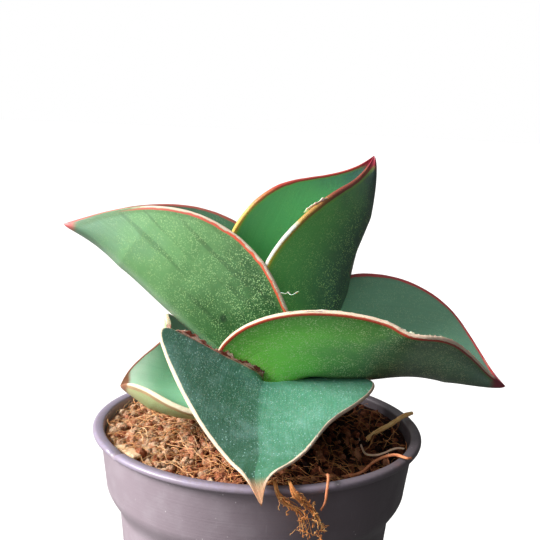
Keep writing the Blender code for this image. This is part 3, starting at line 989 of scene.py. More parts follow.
def spun_faces(rings: int, around: int) -> list[tuple[int, ...]]:
    """Faces of a spun body: quads between its rings, and a fan at each end to one of two last points.

    Args:
        rings: How many rings there are.
        around: How many points each ring has.

    Returns:
        Loops of indices, with the fans last.
    """
    middle, last = rings * around, (rings - 1) * around
    faces = loop_faces(rings, around)
    faces += [(middle, (i + 1) % around, i) for i in range(around)]
    faces += [(middle + 1, last + i, last + (i + 1) % around) for i in range(around)]
    return faces


def turned(faces: Iterable[tuple[int, ...]]) -> list[tuple[int, ...]]:
    """The same faces, looking the other way."""
    return [face[::-1] for face in faces]


def tube(
    body: Body, path: np.ndarray, radii: Any, sides: int = 6, tone: float = 0.5, squash: float = 1.0
) -> None:
    """Adds a closed round strand to a body.

    Args:
        body: The body that it joins.
        path: Its middle line.
        radii: One radius, or one for each point of the path.
        sides: How many sides it has.
        tone: Its own shade, from 0 to 1.
        squash: Its thickness one way as a share of the other.
    """
    path = np.asarray(path, float)
    radii = np.broadcast_to(np.asarray(radii, float), (len(path),))
    ahead = unit(np.gradient(path, axis=0))
    side = np.empty_like(path)
    side[0] = unit(np.cross(ahead[0], (0.3, 0.5, 0.81)))
    for i in range(1, len(path)):
        side[i] = unit(side[i - 1] - ahead[i] * np.dot(side[i - 1], ahead[i]))
    other = np.cross(ahead, side)
    turn = ring_turns(sides)
    ring = np.cos(turn)[None, :, None] * side[:, None] + squash * np.sin(turn)[None, :, None] * other[:, None]
    points = path[:, None] + ring * radii[:, None, None]
    body.add(
        points, capped_faces(len(path), sides), run=np.repeat(lengths(path), sides),
        turn=np.tile(np.cos(turn) * 2, len(path)), tone=tone,
    )


# --------------------------------------------------------------------------------------
# Leaves
# --------------------------------------------------------------------------------------


@dataclass(frozen=True)
class Wing:
    """One half of a keeled leaf, from its midrib to its margin.

    Folds are degrees up from the leaf's own level at its foot, middle and tip; curl is how
    much more the wing turns by its margin. The taper gives the width's share along the leaf.
    """

    fold: tuple[float, float, float]
    curl: float
    width: float
    taper: tuple[float, ...]


LONG_TAPER = (0.62, 0.93, 1.02, 0.8, 0.27, 0.07, 0)
FAR_TAPER = (0.2, 0.7, 1.02, 0.8, 0.27, 0.07, 0)
UPRIGHT_TAPER = (0.15, 0.55, 1, 0.8, 0.27, 0.07, 0)
CLASP_TAPER = (0.1, 0.82, 1.02, 0.8, 0.27, 0.07, 0)
LOW_TAPER = (0.57, 0.96, 0.96, 0.63, 0.3, 0.12, 0)
LOW_NEAR_TAPER = (0.1, 0.5, 0.84, 0.68, 0.34, 0.13, 0)


@dataclass(frozen=True)
class Leaf:
    """A thick leaf that is closed round its margins and sunk into the crown by a neck."""

    name: str
    skin: LeafSkin
    neck: Triple = (0, 0, 0)
    ripple: float = 0.22
    seed: float = 1.0

    stations = 150
    neck_rows = 12
    strips = 26
    rim_steps = 6
    rim_bulge = 0.8
    keel_thickness = 5.0
    margin_thickness = 1.4
    neck_width = 0.45

    def rows(self) -> tuple[np.ndarray, np.ndarray]:
        """The inner face in rows from the foot to the tip, and how far along each row is."""
        raise NotImplementedError

    def wing_shares(self) -> np.ndarray:
        """Places across a wing from its midrib to its margin, closer together near the margin."""
        even = np.linspace(0, 1, self.strips + 1)
        return 1 - (1 - even) ** 1.25

    def with_neck(self, ahead: np.ndarray, foot: np.ndarray, top: np.ndarray) -> np.ndarray:
        """Puts a narrowing neck under the first row, down into the crown.

        Args:
            ahead: The leaf's direction at its foot.
            foot: The midrib's first point.
            top: The inner face in rows.

        Returns:
            The rows, with the neck's first.
        """
        share = np.linspace(0, 1, self.neck_rows + 1)[:-1, None]
        low = CROWN + self.neck
        bend = foot - ahead * np.linalg.norm(foot - low) * 0.5
        path = (1 - share) ** 2 * low + 2 * share * (1 - share) * bend + share**2 * foot
        size = self.neck_width + (1 - self.neck_width) * share**0.7
        rows = path[:, None] + (top[0] - foot)[None] * size[..., None]
        return np.concatenate([rows, top])

    def rippled(self, top: np.ndarray, along: np.ndarray) -> np.ndarray:
        """Gives the margins the small uneven waves of a grown leaf.

        Args:
            top: The inner face in rows.
            along: Each row's share of the length.

        Returns:
            The rows with their waves.
        """
        middle = top.shape[1] // 2
        across = np.linspace(-1, 1, top.shape[1])
        outward = unit(top - top[:, middle : middle + 1])
        fade = np.clip((1 - along) * 6, 0, 1) * np.clip(along * 6, 0, 1)
        for side in (-1, 1):
            run = np.stack([along * 9, np.full_like(along, side * 3.0), np.full_like(along, self.seed)], -1)
            wave = lumps(run, 1.0, self.seed) * self.ripple * fade
            near = np.clip((across * side - 0.72) / 0.28, 0, 1) ** 1.5
            top = top + outward * (wave[:, None] * near[None])[..., None]
        return top

    def sections(self) -> tuple[np.ndarray, dict[str, np.ndarray]]:
        """Closed cross sections with what the skin reads at each point.

        Returns:
            Points as (rows, round, 3), and a (rows, round) array for each reading.
        """
        top, along = self.rows()
        top = self.rippled(top, along)
        rows, columns = top.shape[:2]
        shares = self.wing_shares()
        across = np.concatenate([-shares[:0:-1], shares])
        normal = unit(np.cross(np.gradient(top, axis=0), np.gradient(top, axis=1)))
        thin = np.clip((1 - along) / 0.25, 0, 1) ** 0.6
        thin[: self.neck_rows] = np.linspace(self.neck_width, 1, self.neck_rows + 1)[:-1]
        keel = self.keel_thickness - self.margin_thickness
        thickness = thin[:, None] * (self.margin_thickness + keel * (1 - np.abs(across) ** 1.3)[None])
        under = top - normal * thickness[..., None]
        step = np.linalg.norm(np.diff(top, axis=1), axis=2)
        from_right = np.concatenate([np.zeros((rows, 1)), np.cumsum(step, 1)], 1)
        middle = columns // 2
        girth = from_right - from_right[:, middle : middle + 1]
        half = thickness[:, [0, -1]] / 2
        edge = np.minimum(from_right + half[:, :1], from_right[:, -1:] - from_right + half[:, 1:])
        left_rim, right_rim = (self._rim(top, under, side) for side in (-1, 0))
        points = np.concatenate([top, left_rim, under[:, ::-1], right_rim[:, ::-1]], 1)
        ones = np.ones((rows, self.rim_steps))
        facing = np.cos(self.rim_angles())[None] * ones
        around = facing * half[:, 1:]
        flat = np.tile(across, (rows, 1))
        full = np.ones((1, points.shape[1]))
        readings = {
            "across": np.concatenate([flat, ones, flat[:, ::-1], -ones], 1),
            "girth": np.concatenate([girth, girth[:, -1:] * ones, girth[:, ::-1], girth[:, :1] * ones], 1),
            "brink": np.concatenate([-edge, -around, edge[:, ::-1], around], 1),
            "inner": np.concatenate([flat * 0 + 1, 0.5 + 0.5 * facing, flat * 0, 0.5 - 0.5 * facing], 1),
            "along": along[:, None] * full,
            "run": lengths(top[:, middle])[:, None] * full,
        }
        return points, readings

    def rim_angles(self) -> np.ndarray:
        """How far round a margin, from the inner face to the outer, each of its points is."""
        return np.linspace(0, math.pi, self.rim_steps + 2)[1:-1]

    def _rim(self, top: np.ndarray, under: np.ndarray, side: int) -> np.ndarray:
        """Round points from the inner face to the outer face at the left (-1) or right (0) margin.

        Args:
            top: The inner face in rows.
            under: The outer face in rows.
            side: The margin's column.

        Returns:
            The margin's points in rows.
        """
        high, low = top[:, side], under[:, side]
        middle = (high + low) / 2
        outward = unit(high - top[:, -2 if side else 1])
        size = np.linalg.norm(high - low, axis=1, keepdims=True) / 2 * self.rim_bulge
        upward, outward = high - middle, outward * size
        return np.stack([middle + upward * math.cos(a) + outward * math.sin(a) for a in self.rim_angles()], 1)

    def build(self) -> bpy.types.Object:
        """Makes the leaf's piece.

        Returns:
            The blade, not yet hung on the plant.
        """
        points, readings = self.sections()
        body = Body(*readings)
        rows, around = points.shape[:2]
        faces = loop_faces(rows, around) + [tuple(reversed(range(around)))]
        body.add(points, faces, **readings)
        item = body.piece(f"{self.name}_blade", self.skin, f"{self.name}_skin", self.name)
        self._close(item)
        return item

    @staticmethod
    def _close(item: bpy.types.Object) -> None:
        """Joins the points that meet at the tip and turns every face outward.

        Args:
            item: The blade, changed in place.
        """
        shape = bmesh.new()
        shape.from_mesh(item.data)
        bmesh.ops.remove_doubles(shape, verts=shape.verts, dist=0.00002)
        bmesh.ops.recalc_face_normals(shape, faces=shape.faces)
        shape.to_mesh(item.data)
        shape.free()

    def margin(self, left: bool) -> tuple[np.ndarray, np.ndarray, np.ndarray, np.ndarray]:
        """The line round the middle of a margin.

        Args:
            left: Whether it is the left margin.

        Returns:
            The line's points, the way out from the leaf, the way up from its inner face, and
            how far along each point is.
        """
        top, along = self.rows()
        top = self.rippled(top, along)
        normal = unit(np.cross(np.gradient(top, axis=0), np.gradient(top, axis=1)))
        side, inside = (-1, -3) if left else (0, 2)
        outward = unit(top[:, side] - top[:, inside])
        middle = top[:, side] - normal[:, side] * self.margin_thickness / 2
        return middle, outward, normal[:, side], along


@dataclass(frozen=True)
class KeeledLeaf(Leaf):
    """A leaf that bends along its midrib, with two wings folded up beside it."""

    foot: Triple = (0, 0, 0)
    length: float = 60.0
    heading: tuple[float, ...] = (0, 0, 0, 0, 0)
    rise: tuple[float, ...] = (0, 0, 0, 0, 0)
    roll: tuple[float, ...] = (0, 0, 0)
    left: Wing = Wing((0, 0, 0), 0, 10, LONG_TAPER)
    right: Wing = Wing((0, 0, 0), 0, 10, LONG_TAPER)

    bend_stations = (0, 0.15, 0.4, 0.7, 1)
    taper_stations = (0, 0.2, 0.45, 0.7, 0.88, 0.96, 1)
    fine_steps = 160

    def section(self, fold: np.ndarray, curl: float) -> np.ndarray:
        """A wing's section at each row, eased at the valley, as shares of its width.

        Args:
            fold: How steeply each row folds.
            curl: How much the wing curls.

        Returns:
            Points across and up, in rows.
        """
        across = np.linspace(0, 1, self.fine_steps + 1)
        eased = 1 - 0.5 * np.exp(-((across / 0.14) ** 2))
        angle = fold[:, None] * eased + curl * (across - 0.5)
        toward = np.stack([np.cos(angle), np.sin(angle)], -1)
        path = np.cumsum((toward[:, 1:] + toward[:, :-1]) / 2 / self.fine_steps, 1)
        path = np.concatenate([np.zeros((len(fold), 1, 2)), path], 1)
        return path[:, np.round(self.wing_shares() * self.fine_steps).astype(int)]

    def rows(self) -> tuple[np.ndarray, np.ndarray]:
        """The inner face in rows from the foot to the tip, and how far along each row is.

        Returns:
            The rows of points, and each row's share of the length.
        """
        at = np.linspace(0, 1, self.stations)
        heading = np.radians(smooth_curve(self.bend_stations, self.heading, at))
        rise = np.radians(smooth_curve(self.bend_stations, self.rise, at))
        roll = np.radians(evenly(self.roll, at))[:, None]
        ahead = np.stack([np.cos(rise) * np.cos(heading), np.cos(rise) * np.sin(heading), np.sin(rise)], -1)
        steps = (ahead[1:] + ahead[:-1]) / 2 * self.length / (self.stations - 1)
        foot = CROWN + self.foot
        midrib = foot + np.concatenate([np.zeros((1, 3)), np.cumsum(steps, 0)])
        level = np.stack([-np.sin(heading), np.cos(heading), np.zeros_like(heading)], -1)
        square = np.cross(ahead, level)
        side = np.cos(roll) * level + np.sin(roll) * square
        up = np.cos(roll) * square - np.sin(roll) * level
        wings = []
        for sign, wing in ((-1, self.right), (1, self.left)):
            reach = wing.width * np.clip(smooth_curve(self.taper_stations, wing.taper, at), 0, None)
            section = self.section(np.radians(evenly(wing.fold, at)), math.radians(wing.curl))
            flat = section * reach[:, None, None]
            wings.append(midrib[:, None] + sign * flat[..., :1] * side[:, None] + flat[..., 1:] * up[:, None])
        top = np.concatenate([wings[0][:, ::-1], wings[1][:, 1:]], 1)
        along = np.concatenate([np.zeros(self.neck_rows), at])
        return self.with_neck(ahead[0], foot, top), along


@dataclass(frozen=True)
class SpreadLeaf(Leaf):
    """A broad leaf laid through three guide lines: its left margin, its valley and its right margin."""

    left_line: tuple[Triple, ...] = ()
    valley: tuple[Triple, ...] = ()
    right_line: tuple[Triple, ...] = ()

    guide_stations = (0, 0.12, 0.25, 0.36, 0.48, 0.6, 0.75, 0.9, 0.96, 1)
    hold = 0.3

    def rows(self) -> tuple[np.ndarray, np.ndarray]:
        """The inner face in rows from the foot to the tip, and how far along each row is.

        Returns:
            The rows of points, and each row's share of the length.
        """
        at = np.linspace(0, 1, self.stations + self.neck_rows)
        left, midrib, right = (
            CROWN + smooth_curve(self.guide_stations, line, at)
            for line in (self.left_line, self.valley, self.right_line)
        )
        across = unit(left - right)
        share = self.wing_shares()[None, :, None]
        wings = []
        for sign, margin in ((-1, right), (1, left)):
            reach = np.linalg.norm(margin - midrib, axis=1, keepdims=True)
            hold = midrib + sign * across * reach * self.hold
            ease = margin + (midrib - margin) * self.hold
            corners = (midrib, hold, ease, margin)
            weights = ((1 - share) ** 3, 3 * share * (1 - share) ** 2, 3 * share**2 * (1 - share), share**3)
            wings.append(sum(corner[:, None] * weight for corner, weight in zip(corners, weights)))
        return np.concatenate([wings[0][:, ::-1], wings[1][:, 1:]], 1), at


@dataclass(frozen=True)
class CuticleStrip:
    """A ribbon of dry cuticle that stands off a margin, ragged along its free edge."""

    name: str
    leaf: Leaf
    left: bool
    start: float
    end: float
    width: float
    lift: float = 40.0
    droop: float = 0.0
    seed: float = 1.0
    finish: PaperyCuticle = PaperyCuticle("papery_cuticle")

    stations = 110
    steps = 5
    thickness = 0.12

    def build(self) -> bpy.types.Object:
        """Makes the ribbon's piece, as a thin closed sheet.

        Returns:
            The ribbon, not yet hung on the plant.
        """
        middle, outward, up, along = self.leaf.margin(self.left)
        keep = slice(self.leaf.neck_rows, None)
        at = np.linspace(self.start, self.end, self.stations)
        line, out, rise = (
            np.stack([np.interp(at, along[keep], column[keep]) for column in each.T], -1)
            for each in (middle, outward, up)
        )
        out, rise = unit(out), unit(rise)
        share = np.linspace(0, 1, self.stations)
        ends = np.clip(share * 7, 0, 1) ** 0.7 * np.clip((1 - share) * 7, 0, 1) ** 0.7
        where = np.stack([at * 60, np.full_like(at, self.seed), np.zeros_like(at)], -1)
        ragged = 0.75 + 0.45 * lumps(where, 2.2, self.seed) + 0.3 * lumps(where, 0.5, self.seed + 3)
        width = self.width * np.clip(ragged, 0.15, 1.4) * ends
        sheet = []
        for step in np.linspace(0, 1, self.steps):
            angle = math.radians(self.lift + self.droop * step)
            toward = math.cos(angle) * out + math.sin(angle) * rise
            sheet.append(line - out * 0.25 + toward * (width[:, None] * step))
        front = np.stack(sheet, 1)
        normal = unit(np.cross(np.gradient(front, axis=0), np.gradient(front, axis=1)))
        back = front - normal * self.thickness * ends[:, None, None]
        ring = np.concatenate([front, back[:, ::-1]], 1)
        around = ring.shape[1]
        faces = turned(capped_faces(self.stations, around))
        body = Body("run", "girth")
        girth = np.concatenate([np.linspace(0, 1, self.steps), np.linspace(1, 0, self.steps)])
        body.add(ring, faces, run=np.repeat(at * 60, around), girth=np.tile(girth, self.stations))
        return body.piece(self.name, self.finish, f"{self.leaf.name}_skin")


@dataclass(frozen=True)
class CuticleCurl:
    """A shred of cuticle that has torn away from a margin and curled."""

    name: str
    leaf: Leaf
    left: bool
    at: float
    reach: Triple
    width: float = 0.5
    wave: float = 0.4
    stand: float = 0.4
    finish: PaperyCuticle = PaperyCuticle("pale_cuticle", tint(254, 250, 238), tint(232, 216, 190))

    def build(self) -> bpy.types.Object:
        """Makes the shred's piece, from its place on the margin to its free end.

        Returns:
            The shred, not yet hung on the plant.
        """
        middle, outward, _, along = self.leaf.margin(self.left)
        keep = slice(self.leaf.neck_rows, None)
        start, out = (
            np.array([np.interp(self.at, along[keep], column[keep]) for column in each.T])
            for each in (middle, outward)
        )
        share = np.linspace(0, 1, 60)[:, None]
        turn = share * 11 + self.at * 40
        sway = np.concatenate([np.sin(turn), np.cos(turn * 0.8), np.sin(turn * 1.3)], 1) * self.wave * share
        path = start + unit(out) * self.stand + np.array(self.reach) * share + sway
        ragged = 1 + 0.35 * lumps(path, 0.9, 3.0, 2)
        half = self.width / 2 * np.clip(np.sin(np.pi * share[:, 0]) * 2.2, 0.25, 1) * ragged
        body = Body("run", "girth")
        tube(body, path, half, 10, 0.5, 0.22)
        return body.piece(self.name, self.finish, f"{self.leaf.name}_skin")


class Rosette:
    """The five leaves and their loose cuticle."""

    upright_skin = LeafSkin(
        "upright_leaf_skin",
        outer=tint(122, 200, 110), outer_low=tint(104, 184, 84), outer_tip=tint(84, 110, 102),
        # Painted shade: the dark keel colour covers most of the outer face.
        keel=tint(58, 76, 74), keel_share=0.95, keel_span=0.95,
        # Painted light: the bright green of the lower inner face stands for light glowing through the leaf.
        inner=tint(118, 184, 130), inner_low=tint(140, 228, 132), inner_tip=tint(92, 130, 124),
        speckle=tint(206, 246, 160), speckle_outer=0.55, speckle_inner=0.1,
        tip=tint(150, 44, 62), tip_start=0.945,
        left=MarginLook(
            line=tint(236, 214, 96), line_ahead=tint(176, 62, 54), change=0.6, soft=0.13,
            line_span=(-1.1, 1.1), paper=tint(230, 226, 200), paper_span=(-0.2, 1.3), paper_end=0.36,
            glow=tint(150, 196, 60),
        ),
        right=MarginLook(
            line=tint(222, 206, 78), line_ahead=tint(150, 76, 60), change=0.6, soft=0.14,
            line_span=(-0.9, 1.2), paper=tint(214, 216, 206), paper_span=(-1.2, 0.5), paper_end=0.6,
            glow=tint(160, 206, 66),
        ),
        rough=0.38,
    )
    left_skin = LeafSkin(
        "left_leaf_skin",
        outer=tint(122, 176, 112), outer_low=tint(32, 76, 30), outer_tip=tint(120, 156, 130),
        low_span=(0.2, 0.8), keel=tint(176, 204, 176), keel_share=0.45, edge_shade=0.16,
        inner=tint(72, 112, 86), inner_low=tint(66, 118, 76), inner_tip=tint(78, 118, 92),
        speckle=tint(186, 224, 154), speckle_outer=0.6, bands=0.75,
        tip=tint(214, 110, 108), tip_start=0.962,
        # Painted shade: the dark spot of a small dimple.
        marks=(Mark(run=35.2, girth=9.4, size=1.7, colour=tint(20, 46, 24)),),
        left=MarginLook(
            line=tint(212, 84, 54), line_ahead=tint(204, 92, 80), line_span=(0.6, 1.15),
            paper=tint(236, 216, 194), paper_span=(-1.5, 0.6), paper_end=0.8, rim_start=0.82,
            glow=tint(84, 120, 62),
        ),
        right=MarginLook(
            line=tint(150, 74, 62), line_ahead=tint(160, 80, 70), line_span=(-0.95, 0.9), paper_start=0.9,
            paper_end=0.9, glow=tint(80, 100, 80),
        ),
        rough=0.42,
    )
    right_skin = LeafSkin(
        "right_leaf_skin",
        outer=tint(106, 153, 108), outer_low=tint(148, 242, 100), outer_tip=tint(104, 134, 118),
        # Painted light: the bright yellow-green of the lower outer face stands for light glowing through the
        # leaf.
        low_span=(0.08, 0.4), keel=tint(52, 78, 54), keel_share=0.85, keel_span=0.75,
        inner=tint(102, 150, 122), inner_low=tint(130, 186, 152), inner_tip=tint(88, 122, 108),
        # Painted shade: the dark keel colour darkens the outer face round its keel, its shaded lower side.
        speckle=tint(232, 250, 190), speckle_outer=0.8,
        tip=tint(120, 48, 60), tip_start=0.94, edge_shade=0.45,
        right=MarginLook(
            line=tint(176, 66, 44), line_ahead=tint(140, 60, 54), change=0.7, line_span=(0.3, 0.9),
            paper=tint(228, 204, 180), paper_span=(-1.3, 0.32), glow=tint(84, 130, 40),
        ),
        left=MarginLook(
            line=tint(184, 70, 74), line_ahead=tint(184, 66, 66), line_span=(-1.25, 0.9), paper_start=0.9,
            paper_end=0.9, glow=tint(96, 112, 96),
        ),
        rough=0.38,
    )
    front_skin = LeafSkin(
        "front_leaf_skin",
        outer=tint(136, 176, 112), outer_low=tint(120, 160, 100), outer_tip=tint(170, 180, 118),
        keel=tint(150, 170, 130), keel_share=0.3,
        inner=tint(78, 134, 108), inner_low=tint(88, 148, 134), inner_tip=tint(64, 116, 88),
        speckle=tint(190, 226, 206), speckle_outer=0.3, speckle_inner=0.3,
        dust=1.0,
        tip=tint(212, 158, 120), tip_start=0.962,
        right=MarginLook(
            line=tint(186, 112, 84), line_ahead=tint(206, 150, 110), line_span=(0.45, 0.95),
            paper=tint(232, 214, 186), paper_span=(-0.75, 0.5), paper_start=0.42, glow=tint(150, 186, 120),
        ),
        left=MarginLook(
            line=tint(150, 84, 64), line_ahead=tint(150, 92, 70), line_span=(0.2, 1.1),
            paper=tint(228, 208, 184), paper_span=(-0.85, 0.25), glow=tint(120, 130, 100),
        ),
        # Painted shade: the inner face of the leaf's right wing is painted darker, the left a little lighter.
        stain=0.95, stain_span=(0.2, 0.44), wing_painted_shade=(1.1, 0.6), rough=0.46,
    )
    low_left_skin = LeafSkin(
        "low_left_leaf_skin",
        outer=tint(150, 176, 116), outer_low=tint(140, 170, 108), outer_tip=tint(190, 186, 140),
        inner=tint(132, 188, 150), inner_low=tint(128, 182, 146), inner_tip=tint(192, 216, 194),
        speckle=tint(200, 230, 200), speckle_inner=0.1, tip=tint(140, 92, 66), tip_start=0.93,
        right=MarginLook(
            line=tint(226, 214, 180), line_ahead=tint(146, 96, 78), change=0.6, soft=0.05,
            line_span=(-0.9, 0.9), paper_end=0.3, glow=tint(170, 200, 160),
        ),
        left=MarginLook(
            line=tint(176, 158, 110), line_ahead=tint(180, 150, 110), line_span=(0.3, 1.6),
            paper=tint(226, 214, 184), paper_span=(-0.9, 0.5), glow=tint(170, 180, 120),
        ),
        rough=0.44,
    )

    dried = PaperyCuticle("dried_cuticle", tint(222, 184, 164), tint(112, 54, 38), 0.95)

    def __init__(self) -> None:
        """Shapes the five leaves."""
        self.upright = KeeledLeaf(
            "leaf_upright", self.upright_skin, neck=(3, 3, -7), seed=2.0, foot=(6, 6.5, 2), length=70.5,
            heading=(11, 27, 23, 46, 33), rise=(72, 65, 80, 63, 77), roll=(7, -2, -2),
            left=Wing((75, 81, 63), 31, 32, UPRIGHT_TAPER), right=Wing((75, 80, 68), -39, 26, UPRIGHT_TAPER),
        )
        self.left = KeeledLeaf(
            "leaf_left", self.left_skin, neck=(1, 2, -8), seed=5.0, foot=(1.5, 4, -1), length=79.5,
            heading=(181, 174, 175, 177, 190), rise=(73, 45, 37, 39, 5), roll=(-10, 0, 9),
            left=Wing((63, 74, 57), 2, 27.5, CLASP_TAPER), right=Wing((35, 72, 57), 23, 27.5, LONG_TAPER),
        )
        self.right = KeeledLeaf(
            "leaf_right", self.right_skin, neck=(4, -3, -8), seed=7.0, foot=(3, -2, 7), length=66.5,
            heading=(-31, 3, 16, -4, -17), rise=(95, 7, 3, -9, -16), roll=(7, 13, -4),
            left=Wing((67, 42, 36), 14, 26, FAR_TAPER), right=Wing((65, 43, 39), -9, 30.5, LONG_TAPER),
        )
        self.low_left = KeeledLeaf(
            "leaf_low_left", self.low_left_skin, neck=(-4, 0, -7), seed=9.0, foot=(-9.5, 2, -1.5),
            length=35.5, heading=(161, 208, 211, 193, 185), rise=(34, 28, 1, 13, -8), roll=(19, -8, -1),
            left=Wing((11, 13, 32), 25, 24.5, LOW_NEAR_TAPER), right=Wing((34, 38, 41), 16, 26.5, LOW_TAPER),
        )
        self.front = SpreadLeaf(
            "leaf_front", self.front_skin, seed=12.0,
            left_line=(
                (2, -3, -9), (3, -2, 1), (5, -1, 6.8), (15, 0, 8.6), (25.7, -7, 9.6), (22.3, -16, 7.2),
                (13, -27, 4), (4, -41.5, -0.6), (-1, -46.9, -3), (-2, -49.8, -8),
            ),
            valley=(
                (-2, -7, -10), (-2.2, -10, 0), (-2.6, -12.8, 9.2), (-2.9, -15, 9.7), (-3.1, -17.2, 8.3),
                (-3.4, -23, 6), (-3.5, -32.4, 2.7), (-3.4, -41.8, -0.8), (-3.7, -47.3, -3.4), (-2, -49.8, -8),
            ),
            right_line=(
                (-6, -5, -9), (-5, -7, 1), (-3.5, -9.5, 10.5), (-14, -12, 16.5), (-28.3, -15, 23.5),
                (-27, -21, 17.5), (-18.5, -33.5, 7.5), (-9, -43, -0.8), (-5.3, -47.5, -3), (-2, -49.8, -8),
            ),
        )

    def build(self) -> None:
        """Makes every leaf and its loose cuticle."""
        for leaf in (self.upright, self.left, self.right, self.low_left, self.front):
            leaf.build()
        for item in (*self.strips(), *self.curls()):
            item.build()

    def strips(self) -> tuple[CuticleStrip, ...]:
        """The ribbons of dry cuticle along the margins."""
        return (
            CuticleStrip(
                "upright_near_cuticle", self.upright, left=False,
                start=0.02, end=0.55, width=1.6, lift=75, droop=30, seed=1.0,
            ),
            CuticleStrip(
                "upright_flap", self.upright, left=False,
                start=0.5, end=0.9, width=1.3, lift=110, droop=60, seed=4.0,
            ),
            CuticleStrip(
                "left_near_cuticle", self.left, left=True,
                start=0.3, end=0.7, width=0.9, lift=60, droop=20, seed=2.0,
            ),
            CuticleStrip(
                "right_near_cuticle", self.right, left=False,
                start=0.05, end=0.92, width=1.1, lift=62, droop=20, seed=3.0,
            ),
            CuticleStrip(
                "front_near_cuticle", self.front, left=False,
                start=0.46, end=0.9, width=0.8, lift=20, droop=30, seed=6.0,
            ),
            CuticleStrip(
                "front_far_cuticle", self.front, left=True,
                start=0.5, end=0.93, width=0.8, lift=25, droop=30, seed=8.0,
            ),
            CuticleStrip(
                "front_dried_edge", self.front, left=False,
                start=0.225, end=0.46, width=2.5, lift=58, droop=25, seed=10.0, finish=self.dried,
            ),
        )

    def curls(self) -> tuple[CuticleCurl, ...]:
        """The torn shreds of cuticle."""
        return (
            CuticleCurl(
                "left_torn_curl", self.left, left=True,
                at=0.26, reach=(4.6, -1.0, 0.4), width=0.75, wave=0.6,
            ),
            CuticleCurl(
                "upright_torn_flap", self.upright, left=False,
                at=0.7, reach=(-6.0, -1.4, -3.9), width=2.3, wave=0.08, stand=0.7,
            ),
            CuticleCurl(
                "right_peeled_sliver", self.right, left=False,
                at=0.165, reach=(-9.0, 2.2, -1.2), width=0.42, wave=0.15, stand=0.9,
            ),
        )


# --------------------------------------------------------------------------------------
# Pot
# --------------------------------------------------------------------------------------


